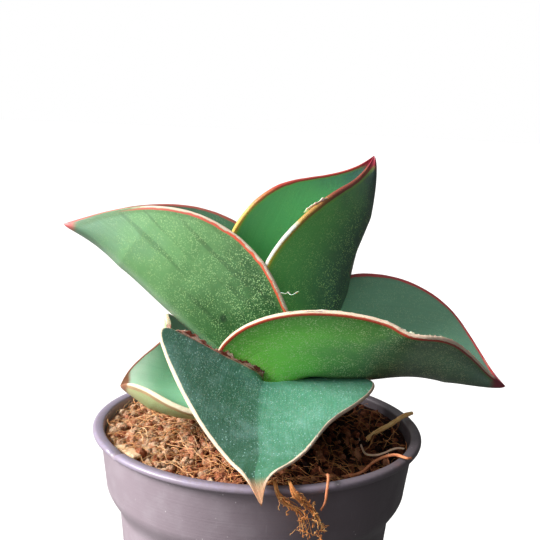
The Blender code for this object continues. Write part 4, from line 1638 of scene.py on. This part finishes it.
@dataclass(frozen=True)
class NurseryPot:
    """A thin drafted pot with a rolled lip, a collar, a stepped waist and a drained base."""

    rim_diameter: float = 90.0
    wall: float = 1.0
    floor: float = 1.4
    lip: float = 1.8
    overhang: float = 2.1
    collar: float = 15.0
    collar_draft: float = 7.0
    waist: float = 9.5
    waist_step: float = 3.9
    body_draft: float = 6.0
    foot_round: float = 1.2
    hole_diameter: float = 7.0
    hole_circle: float = 42.0
    holes: int = 6
    nick_bearing: float = 216.5
    segments: int = 288

    def outer(self, depth: float) -> float:
        """The outside radius at a depth below the rim.

        Args:
            depth: Millimetres below the rim.

        Returns:
            The radius in millimetres.
        """
        collar_end = self.rim_diameter / 2 - self.overhang - math.tan(math.radians(self.collar_draft)) * (
            min(depth, self.collar) - self.lip
        )
        if depth <= self.collar:
            return collar_end
        if depth <= self.collar + self.waist:
            share = (depth - self.collar) / self.waist
            return collar_end - self.waist_step * (1 - math.cos(math.pi * share)) / 2
        below = depth - self.collar - self.waist
        return collar_end - self.waist_step - math.tan(math.radians(self.body_draft)) * below

    def inner(self, depth: float) -> float:
        """The inside radius at a depth below the rim."""
        return self.outer(depth) - self.wall

    def profile(self) -> np.ndarray:
        """The half section, from the middle underneath, round the outside, to the middle inside.

        Returns:
            Radius and height, point by point.
        """
        depths = np.linspace(self.lip + 0.3, POT_HEIGHT - self.floor, 90)
        foot = self.outer(POT_HEIGHT)
        turns = np.radians(np.linspace(-90, 0, 8))
        under = [(r, 0.0) for r in np.linspace(0, foot - self.foot_round, 26)[:-1]]
        bend = self.foot_round
        rounded = [(foot - bend + bend * math.cos(t), bend + bend * math.sin(t)) for t in turns]
        outside = [(self.outer(d), POT_HEIGHT - d) for d in depths[::-1]]
        half = self.lip / 2
        edge = self.rim_diameter / 2
        lip = [
            (edge - half + half * math.cos(t), POT_HEIGHT - half + half * math.sin(t))
            for t in np.radians(np.linspace(-90, 90, 15))
        ]
        web = [(self.outer(self.lip) + 0.25, POT_HEIGHT - self.lip)]
        inside = [(self.inner(d), POT_HEIGHT - d) for d in (0.4, 1.0, *depths[:-1])]
        shoulder = [(self.inner(0.4) + 0.35, POT_HEIGHT - 0.08)]
        base = [(r, self.floor) for r in np.linspace(self.inner(POT_HEIGHT - self.floor), 0, 26)]
        return np.array([*under, *rounded, *outside, *web, *lip, *shoulder, *inside, *base])

    def build(self) -> bpy.types.Object:
        """Makes the pot's piece, with its slightly uneven wall and its drain holes.

        Returns:
            The pot, not yet hung on the plant.
        """
        profile = self.profile()[1:-1]
        turn = ring_turns(self.segments)
        radius, height = profile[:, 0][:, None], profile[:, 1][:, None]
        x, y = radius * np.cos(turn), radius * np.sin(turn)
        points = np.stack([x, y, np.broadcast_to(height, x.shape)], -1)
        sway = lumps(points / (60, 60, 26), 1.0, 3.0, 2).reshape(x.shape) * 0.16
        sway *= np.clip(height / 8, 0, 1)
        out = np.stack([np.cos(turn), np.sin(turn), np.zeros_like(turn)], -1)
        points = points + out * sway[..., None]
        nick = np.exp(-(((turn - math.radians(self.nick_bearing)) / 0.034) ** 2))
        nick = nick * np.clip((height - (POT_HEIGHT - 2.4)) / 1.2, 0, 1)
        points[..., 2] -= nick * 1.1
        points = points - out * (nick * 0.8)[..., None]
        rings, around = x.shape
        points = np.concatenate([points.reshape(-1, 3), [(0, 0, 0), (0, 0, self.floor)]])
        # The turn reading counts round from the left side; the plastic uses it for its painted light and
        # shade, and for its hoops and scratches.
        from_left = np.concatenate([np.tile(np.abs(turn - math.pi) * 40, rings), [0, 0]])
        body = Body("depth", "turn")
        body.add(points, spun_faces(rings, around), depth=POT_HEIGHT - points[:, 2], turn=from_left)
        item = body.piece("pot_shell", PotPlastic("pot_plastic"), "pot_plastic", "pot")
        self._drain(item)
        return item

    def _drain(self, item: bpy.types.Object) -> None:
        """Cuts the drain holes and sharpens their edges.

        Args:
            item: The pot, changed in place.
        """
        shape = bmesh.new()
        for number in range(self.holes):
            turn = math.tau * number / self.holes
            place = Vector((math.cos(turn), math.sin(turn), 0)) * self.hole_circle / 2 * MILLIMETRE
            radius = self.hole_diameter / 2 * MILLIMETRE
            bmesh.ops.create_cone(
                shape, cap_ends=True, segments=40, radius1=radius, radius2=radius,
                depth=self.floor * 3 * MILLIMETRE,
                matrix=Matrix.Translation(place + Vector((0, 0, self.floor / 2 * MILLIMETRE))),
            )
        mesh = bpy.data.meshes.new("drain_cutters")
        shape.to_mesh(mesh)
        shape.free()
        tool = bpy.data.objects.new("drain_cutters", mesh)
        bpy.context.scene.collection.objects.link(tool)
        cut = item.modifiers.new("drain", "BOOLEAN")
        cut.operation, cut.solver, cut.object = "DIFFERENCE", "EXACT", tool
        settled = bpy.data.meshes.new_from_object(item.evaluated_get(bpy.context.evaluated_depsgraph_get()))
        item.modifiers.clear()
        item.data = settled
        bpy.data.objects.remove(tool)
        item.data.set_sharp_from_angle(angle=math.radians(60))


# --------------------------------------------------------------------------------------
# Soil
# --------------------------------------------------------------------------------------


class Patch(Enum):
    """Where loose soil is scattered: the open left side, the shaded right side or the front."""

    LEFT = (-26.0, -8.0, 17.0)
    RIGHT = (28.0, -12.0, 15.0)
    FRONT = (2.0, -34.0, 12.0)


@dataclass(frozen=True)
class SoilBed:
    """Coir that fills the pot, with crumbs and fibres lying on it."""

    pot: NurseryPot
    gap: float = 0.3
    below_rim: float = 2.5
    bumps: tuple[tuple[float, float, float, float], ...] = (
        (3, 2, 7, 12), (30, -16, -7, 12), (-18, -30, -1.5, 14),
    )
    crumbs: int = 1700
    fibres: int = 460
    rings: int = 90
    around: int = 260

    def height(self, x: Any, y: Any) -> Any:
        """The soil's broad surface above the pot's base.

        Args:
            x: Place to the right.
            y: Place away from the front.

        Returns:
            Height there, in millimetres.
        """
        level = POT_HEIGHT - self.below_rim + 0.0 * x
        for middle_x, middle_y, rise, spread in self.bumps:
            level = level + rise * np.exp(-((x - middle_x) ** 2 + (y - middle_y) ** 2) / (2 * spread**2))
        return level

    def relief(self, x: np.ndarray, y: np.ndarray) -> np.ndarray:
        """The crumbs and hollows of the surface, above or below its broad level.

        Args:
            x: Places to the right.
            y: Places away from the front.

        Returns:
            Millimetres above the broad level.
        """
        flat = np.stack([x.ravel(), y.ravel(), np.zeros(x.size)], -1)
        cells = np.array([noise.voronoi(Vector(p) / 2.6)[0][0] for p in flat])
        fine = np.array([noise.voronoi(Vector(p) / 1.1)[0][0] for p in flat])
        rough = (0.35 - cells) * 2.0 + (0.35 - fine) * 0.8 + lumps(flat, 5.0, 2.0) * 1.1
        return rough.reshape(x.shape)

    def painted_soil_light(self, x: Any) -> Any:
        """How pale the coir is painted: painted light, most on the open left side where the light falls."""
        return 0.32 + 0.7 * np.clip((5 - x) / 24, 0, 1)

    def build(self) -> None:
        """Makes the bed, the crumbs and the fibres."""
        self._bed()
        self._scatter_crumbs()
        self._scatter_fibres()

    def _bed(self) -> None:
        """The bed: a crumbly top, sides that follow the pot and a flat underside."""
        edge = self.pot.inner(self.below_rim) - self.gap
        turn = ring_turns(self.around)
        radii = np.linspace(edge / self.rings, edge, self.rings)
        x, y = radii[:, None] * np.cos(turn), radii[:, None] * np.sin(turn)
        calm = np.clip((edge - radii) / 3, 0.15, 1)[:, None]
        rise = self.relief(x, y) * calm
        tops = np.stack([x, y, self.height(x, y) + rise], -1)
        # Painted light and shade: the tone is higher on the lit left side and lower where the relief dips, as
        # painted shade in the hollows.
        tone = self.painted_soil_light(x) - 0.16 + rise * 0.22
        rings, tones = [tops], [tone]
        for depth in (8.0, 15.0, 18.0, 21.0, 24.5, 50.0, POT_HEIGHT - self.pot.floor - self.gap):
            radius = self.pot.inner(depth) - self.gap
            level = np.full_like(turn, POT_HEIGHT - depth)
            rings.append(np.stack([radius * np.cos(turn), radius * np.sin(turn), level], -1)[None])
            tones.append(np.full((1, self.around), 0.3))
        points = np.concatenate(rings)
        faces = turned(spun_faces(len(points), self.around))
        middles = [(0, 0, float(self.height(0.0, 0.0))), (0, 0, self.pot.floor + self.gap)]
        points = np.concatenate([points.reshape(-1, 3), middles])
        body = Body("tone")
        body.add(points, faces, tone=np.concatenate([np.concatenate(tones).ravel(), [0.4, 0.3]]))
        body.piece("soil_bed", Coir("coir"), "soil_coir", "soil")

    def _spot(self, dice: np.random.Generator) -> tuple[float, float]:
        """A place on the soil: mostly on an open patch, else anywhere.

        Args:
            dice: Where the random draws come from.

        Returns:
            The place, right and away.
        """
        while True:
            if dice.random() < 0.72:
                middle_x, middle_y, spread = list(Patch)[dice.choice(3, p=(0.5, 0.26, 0.24))].value
                x, y = dice.normal(middle_x, spread * 0.62), dice.normal(middle_y, spread)
            else:
                x, y = dice.uniform(-41, 41, 2)
            if math.hypot(x, y) < self.pot.inner(self.below_rim) - 1.6:
                return float(x), float(y)

    def _scatter_crumbs(self) -> None:
        """Crumbs of coir pith of many sizes."""
        dice = np.random.default_rng(11)
        shape = bmesh.new()
        bmesh.ops.create_icosphere(shape, subdivisions=2, radius=1.0)
        ball = np.array([vertex.co[:] for vertex in shape.verts])
        shape.verts.index_update()
        faces = [tuple(vertex.index for vertex in face.verts) for face in shape.faces]
        shape.free()
        body = Body("tone")
        for number in range(self.crumbs):
            x, y = self._spot(dice)
            size = float(np.clip(dice.lognormal(-0.15, 0.45), 0.35, 1.7))
            stretch = dice.uniform(0.6, 1.25, 3)
            knobs = 1.1 - 0.8 * np.abs(lumps(ball + number * 3.1, 0.9, 1.0, 2))
            knobs += 0.28 * lumps(ball - number, 0.4, 2.0, 2)
            angle = dice.uniform(0, math.tau)
            lie = np.array(Matrix.Rotation(angle, 3, Vector(dice.normal(size=3)).normalized()))
            crumb = ball * knobs[:, None] * stretch @ lie
            lift = float(self.height(x, y)) + size * dice.uniform(-0.1, 0.55)
            room = self.pot.inner(self.below_rim) - 0.9 - math.hypot(x, y)
            size = min(size, max(room, 0.3))
            # The tone: random, with the soil's painted light on the left side.
            tone = float(np.clip(dice.normal(self.painted_soil_light(x), 0.27), 0.05, 1.1))
            body.add(crumb * size + (x, y, lift), faces, tone=tone)
        body.piece("soil_crumbs", Coir("coir"), "soil_coir")

    def _scatter_fibres(self) -> None:
        """Fine fibres that lie over the crumbs and arch above them."""
        dice = np.random.default_rng(23)
        body = Body("run", "turn", "tone")
        limit = self.pot.inner(self.below_rim) - 0.6
        for _ in range(self.fibres):
            x, y = self._spot(dice)
            length = dice.uniform(5, 19)
            heading = dice.uniform(0, math.tau)
            steps = 12
            bend = np.cumsum(dice.normal(0, 0.22, steps))
            angle = heading + bend
            x_line = x + np.cumsum(np.cos(angle)) * length / steps
            y_line = y + np.cumsum(np.sin(angle)) * length / steps
            away = np.hypot(x_line, y_line)
            pull = np.minimum(1, limit / np.maximum(away, 1e-6))
            x_line, y_line = x_line * pull, y_line * pull
            arch = np.sin(np.linspace(0, math.pi, steps)) * dice.uniform(0.0, 2.6)
            z_line = self.height(x_line, y_line) + 0.7 + arch + dice.normal(0, 0.18, steps)
            path = evenly(np.stack([x_line, y_line, z_line], -1), np.linspace(0, 1, 20))
            thick = dice.uniform(0.04, 0.13)
            # The tone: random, with the soil's painted light on the left side.
            tone = float(dice.uniform(0.2, 1.2) * self.painted_soil_light(x) * 1.25)
            tube(body, path, thick * np.linspace(1, 0.55, 20), 5, tone)
        finish = RootBark("coir_fibre", tint(150, 86, 52), tint(230, 162, 104), tint(252, 214, 164))
        body.piece("soil_fibres", finish, "soil_coir")


@dataclass(frozen=True)
class BarkChip:
    """A flat pale chip of bark on the left of the soil."""

    corners: tuple[tuple[float, float], ...] = (
        (-36.5, -18.5), (-34, -17.3), (-30.8, -20.6), (-28.9, -24.4), (-30.6, -25.6), (-33.4, -23),
        (-36.4, -20.6),
    )
    layers: tuple[tuple[float, float], ...] = (
        (0.1, 0.0), (0.5, -0.05), (0.9, 0.0), (1.0, 0.3), (1.02, 0.6), (0.97, 0.9), (0.7, 1.0), (0.35, 1.05),
        (0.1, 1.0),
    )
    thickness: float = 1.2
    level: float = 77.6

    def build(self) -> None:
        """Makes the chip from stacked outlines with torn edges."""
        outline = np.array(self.corners)
        closed = np.concatenate([outline, outline[:1]])
        at = np.linspace(0, 1, 57)[:-1]
        edge = np.stack([np.interp(at, np.linspace(0, 1, len(closed)), column) for column in closed.T], -1)
        middle = edge.mean(0)
        rings = []
        for share, rise in self.layers:
            flat = middle + (edge - middle) * share
            points = np.column_stack([flat, np.full(len(flat), rise * self.thickness)])
            points += 0.14 * np.stack([lumps(points, 1.1, seed, 2) for seed in (1.0, 2.0, 3.0)], -1)
            rings.append(points)
        points = np.stack(rings) + (0, 0, self.level)
        faces = turned(capped_faces(len(rings), points.shape[1]))
        body = Body("run", "turn", "tone")
        run = points[..., 0].ravel() * 0.6 - points[..., 1].ravel() * 0.8
        body.add(points, faces, run=run, turn=points[..., 0].ravel() * 2, tone=0.8)
        finish = RootBark("bark_flake", tint(150, 108, 76), tint(214, 178, 138), tint(240, 216, 184))
        body.piece("bark_flake", finish, "bark_pale", "bark_chip")


# --------------------------------------------------------------------------------------
# Roots
# --------------------------------------------------------------------------------------


@dataclass(frozen=True)
class LooseRoot:
    """A root or fibre that lies out over the soil or the rim, with side hairs."""

    name: str
    node: str
    line: tuple[Triple, ...]
    radius: float
    finish: RootBark
    hairs: int = 4
    hair_length: float = 4.0
    seed: int = 1

    def path(self, count: int = 90) -> np.ndarray:
        """The middle line, from the given points measured from the rim's level.

        Args:
            count: How many points it gets.

        Returns:
            The points of the line.
        """
        points = np.array(self.line, float) + (0, 0, POT_HEIGHT)
        far = lengths(points)
        return smooth_curve(far / far[-1], points, np.linspace(0, 1, count))

    def build(self) -> None:
        """Makes the root with its knots, its taper and its hairs."""
        dice = np.random.default_rng(self.seed)
        path = self.path()
        body = Body("run", "turn", "tone")
        knots = lumps(path, 1.6, self.seed, 2) * 0.16
        taper = np.interp(np.linspace(0, 1, len(path)), (0, 0.12, 0.85, 1), (0.35, 1, 1, 0.75))
        tube(body, path, self.radius * taper * (1 + knots), 12, 0.45)
        for number in range(self.hairs):
            start = path[int(dice.uniform(0.08, 0.9) * len(path))]
            toward = unit(dice.normal(size=3) * (1, 1, 0.35))
            steps = np.linspace(0, 1, 14)[:, None]
            wave = np.cumsum(dice.normal(0, 0.09, (14, 3)), 0)
            hair = start + toward * steps * dice.uniform(0.4, 1) * self.hair_length + wave * steps
            tube(body, hair, self.radius * 0.22 * np.linspace(1, 0.4, 14), 5, float(dice.uniform(0.2, 0.9)))
        body.piece(self.name, self.finish, f"{self.node}_fibre", self.node)


@dataclass(frozen=True)
class CoirStrand(LooseRoot):
    """A loose twist of many coir fibres that hangs over the rim."""

    fibres: int = 24
    spread: float = 0.6
    curls: int = 26

    def build(self) -> None:
        """Makes the twist, its stray curls and a flat shred at its top."""
        dice = np.random.default_rng(self.seed)
        path = self.path(70)
        body = Body("run", "turn", "tone")
        share = np.linspace(0, 1, len(path))
        for number in range(self.fibres):
            turns = share * dice.uniform(3, 14) + dice.uniform(0, math.tau)
            swell = self.spread * np.interp(share, (0, 0.4, 0.7, 1), (0.15, 0.3, 1.6, 1.2))
            swell = swell * dice.uniform(0.15, 1.1)
            round_it = np.stack([np.cos(turns), np.sin(turns) * 0.6, np.sin(turns * 0.7 + number)], -1)
            shift = round_it * swell[:, None]
            kinks = np.cumsum(dice.normal(0, 0.06, (len(path), 3)), 0) * share[:, None]
            stop = int(len(path) * dice.uniform(0.55, 1.0))
            line = (path + shift + kinks)[: max(stop, 12)]
            radii = dice.uniform(0.06, 0.17) * np.linspace(1, 0.6, len(line))
            tube(body, line, radii, 6, float(dice.uniform(0, 1)))
        flat = path[: len(path) // 2]
        taper = np.interp(np.linspace(0, 1, len(flat)), (0, 0.2, 0.8, 1), (0.5, 1, 0.9, 0.3))
        width = self.radius * 1.7 * taper
        tube(body, flat, width * (1 + 0.2 * lumps(flat, 1.2, self.seed, 2)), 12, 0.95, 0.28)
        for _ in range(self.curls):
            start = path[int(dice.uniform(0.5, 0.99) * len(path))] + dice.normal(0, 0.35, 3)
            steps = 22
            toward = unit(dice.normal(size=3) * (1, 0.5, 1) + (0, -0.3, -0.5))
            wander = np.cumsum(dice.normal(0, 0.5, (steps, 3)), 0) * 0.35
            curl = toward * np.linspace(0, dice.uniform(0.8, 2.6), steps)[:, None] + wander
            tube(body, start + curl - curl[0], dice.uniform(0.05, 0.11), 5, float(dice.uniform(0.2, 1)))
        body.piece(self.name, self.finish, f"{self.node}_fibre", self.node)


class LooseRoots:
    """Every root and strand that lies over the soil and the rim."""

    tan = RootBark("tan_root", tint(214, 130, 70), tint(255, 202, 132), tint(255, 236, 188))
    pale = RootBark("pale_root", tint(206, 150, 122), tint(246, 208, 178), tint(254, 236, 214))
    brown = RootBark("brown_root", tint(128, 66, 42), tint(206, 128, 88), tint(240, 184, 134))
    coir = RootBark("coir_tuft", tint(134, 70, 34), tint(224, 144, 78), tint(250, 206, 140))

    def build(self) -> None:
        """Makes the roots and strands."""
        roots = (
            LooseRoot(
                "root_on_rim_bark", "root_on_rim",
                (
                    (27.5, 0.2, -6.5), (29.7, 0.9, -5), (33.3, 3.7, -3), (38.1, 5, -0.4), (41, 6.6, 1.1),
                    (44.2, 9.2, 1.5),
                ),
                0.7, self.tan, hairs=5, hair_length=3.0, seed=3,
            ),
            LooseRoot(
                "root_pale_bark", "root_pale",
                (
                    (28.6, 2.5, -4.2), (29, -5.7, -4.6), (30, -9.6, -4.4), (33.6, -11.7, -3), (37, -10.3, -2),
                    (39, -12.6, -1),
                ),
                0.3, self.pale, hairs=3, hair_length=3.0, seed=5,
            ),
            LooseRoot(
                "root_brown_bark", "root_brown",
                (
                    (21.7, -21.1, -6), (28, -18.2, -5.4), (30.1, -17.7, -3.5), (34.2, -19.5, -0.4),
                    (36.4, -23.2, 1.1), (38.1, -25.3, 1.4), (39.1, -24.3, 1.1),
                ),
                0.4, self.brown, hairs=4, hair_length=3.0, seed=7,
            ),
            LooseRoot(
                "root_hanging_bark", "root_hanging",
                (
                    (16.3, -20, -4), (17.1, -34.2, -0.4), (17.2, -41.6, 1.4), (17, -42.9, 0.4),
                    (16.9, -43.2, -0.9), (16.6, -42.9, -3.6), (15.8, -42.7, -5.4),
                ),
                0.35, self.brown, hairs=4, hair_length=2.4, seed=9,
            ),
            CoirStrand(
                "coir_strand_long_twist", "coir_strand_long",
                (
                    (3.2, -33.5, -4), (4.4, -40, 0), (4.8, -42.6, 1.2), (4.9, -45.2, 1.3), (5.3, -46, 0.1),
                    (6.3, -45.8, -1.6), (8, -45.3, -3.4), (10.4, -44.8, -4.8), (11.9, -44.4, -7.3),
                    (13.2, -43.4, -12.8),
                ),
                0.4, self.coir, seed=13,
            ),
            CoirStrand(
                "coir_strand_short_twist", "coir_strand_short",
                (
                    (7.8, -35.3, -4), (8.1, -39.5, -0.4), (8.3, -42.4, 1.1), (8.5, -44.8, 1.2),
                    (9.4, -45.9, -0.1), (11.6, -45.4, -2.2), (13.6, -44.9, -4.6), (15, -43.9, -7.4),
                    (15.8, -43.2, -11),
                ),
                0.35, self.coir, seed=17,
            ),
        )
        for root in roots:
            root.build()

    def dress_rhizome(self) -> None:
        """Gives the buried rhizome its skin."""
        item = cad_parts["rhizome"]
        item.data.materials.clear()
        item.data.materials.append(RhizomeSkin("rhizome_skin").material())
        LOG.info("rhizome: dressed in place")


# --------------------------------------------------------------------------------------
# Studio
# --------------------------------------------------------------------------------------


@dataclass(frozen=True)
class Lamp:
    """A soft distant light: where it stands round the object, its strength and how soft it is.

    Angles are degrees: bearing to the left of the front, and height above the floor.
    """

    name: str
    bearing: float
    height: float
    strength: float
    softness: float
    colour: Triple = (1.0, 1.0, 1.0)

    def build(self) -> None:
        """Hangs the light."""
        data = bpy.data.lights.new(self.name, "SUN")
        data.energy, data.angle, data.color = self.strength, math.radians(self.softness), self.colour
        item = bpy.data.objects.new(self.name, data)
        turn, rise = math.radians(self.bearing), math.radians(self.height)
        toward = Vector((-math.sin(turn) * math.cos(rise), -math.cos(turn) * math.cos(rise), math.sin(rise)))
        item.location = toward
        item.rotation_euler = (-toward).to_track_quat("-Z", "Y").to_euler()
        bpy.context.scene.collection.objects.link(item)


@dataclass(frozen=True)
class Studio:
    """The camera, the lights and the pale floor."""

    pitch: float = 10.2446
    roll: float = 2.6557
    stand: Triple = (1.403, -238.894, POT_HEIGHT + 86.228)
    lens: float = 60.0
    lamps: tuple[Lamp, ...] = (
        Lamp("key_light", 76.0, 32.0, 6.6, 24.0, (1.0, 0.985, 0.965)),
        Lamp("front_fill", 42.0, 24.0, 0.8, 60.0),
    )

    def build(self) -> None:
        """Sets up the camera, the lights, the surroundings and the floor."""
        self._camera()
        for lamp in self.lamps:
            lamp.build()
        self._surroundings()
        self._floor()
        settings = bpy.context.scene.view_settings
        settings.view_transform, settings.look, settings.exposure = "Standard", "None", 0.0

    def _camera(self) -> None:
        """Stands the camera in front and above, looking slightly down."""
        pitch, roll = math.radians(self.pitch), math.radians(self.roll)
        ahead = Vector((0, math.cos(pitch), -math.sin(pitch)))
        upward, right = Vector((0, math.sin(pitch), math.cos(pitch))), Vector((1, 0, 0))
        side = math.cos(roll) * right + math.sin(roll) * upward
        top = math.cos(roll) * upward - math.sin(roll) * right
        data = bpy.data.cameras.new("camera")
        data.lens, data.sensor_width, data.clip_start = self.lens, 36.0, 0.005
        item = bpy.data.objects.new("camera", data)
        turn = Matrix((side, top, -ahead)).transposed().to_4x4()
        item.matrix_world = Matrix.Translation(Vector(self.stand) * MILLIMETRE) @ turn
        bpy.context.scene.collection.objects.link(item)
        bpy.context.scene.camera = item

    def _surroundings(self) -> None:
        """A white backdrop, with light that comes mostly from the left."""
        world = bpy.data.worlds.new("studio")
        bpy.context.scene.world = world
        world.use_nodes = True
        sheet = NodeSheet(world.node_tree)
        toward = sheet.node("ShaderNodeTexCoord").outputs["Generated"]
        sides = sheet.node("ShaderNodeSeparateXYZ", None, {"Vector": toward})
        left = Value(sheet, sides.outputs["X"]).rising(0.4, -1.0)
        above = Value(sheet, sides.outputs["Z"]).rising(0.35, 1.0)
        strength = 0.13 + left * 0.38 + above * 0.3
        fill = sheet.node("ShaderNodeBackground", None, {"Color": WHITE, "Strength": strength})
        backdrop = sheet.node("ShaderNodeBackground", None, {"Color": WHITE, "Strength": 1.0})
        seen = sheet.node("ShaderNodeLightPath").outputs["Is Camera Ray"]
        mixed = sheet.node("ShaderNodeMixShader")
        for source, socket in ((seen, 0), (fill.outputs[0], 1), (backdrop.outputs[0], 2)):
            sheet.tree.links.new(source, mixed.inputs[socket])
        sheet.node("ShaderNodeOutputWorld", None, {"Surface": mixed.outputs[0]})

    def _floor(self) -> None:
        """The floor that the pot stands on, which is seen but throws no light back up."""
        shape = bmesh.new()
        bmesh.ops.create_circle(shape, cap_ends=True, segments=96, radius=6.0)
        mesh = bpy.data.meshes.new("studio_floor")
        shape.to_mesh(mesh)
        shape.free()
        mesh.materials.append(PaleFloor("pale_floor").material())
        floor = bpy.data.objects.new("studio_floor", mesh)
        floor.location.z = -0.0002
        bpy.context.scene.collection.objects.link(floor)
        floor.visible_diffuse = floor.visible_glossy = False


def main() -> None:
    """Builds the studio, the pot, the soil, the leaves and the roots in order."""
    logging.basicConfig(level=logging.INFO, format="%(name)s %(message)s")
    Studio().build()
    pot = NurseryPot()
    pot.build()
    SoilBed(pot).build()
    BarkChip().build()
    Rosette().build()
    roots = LooseRoots()
    roots.build()
    roots.dress_rhizome()


if __name__ == "__main__":
    main()
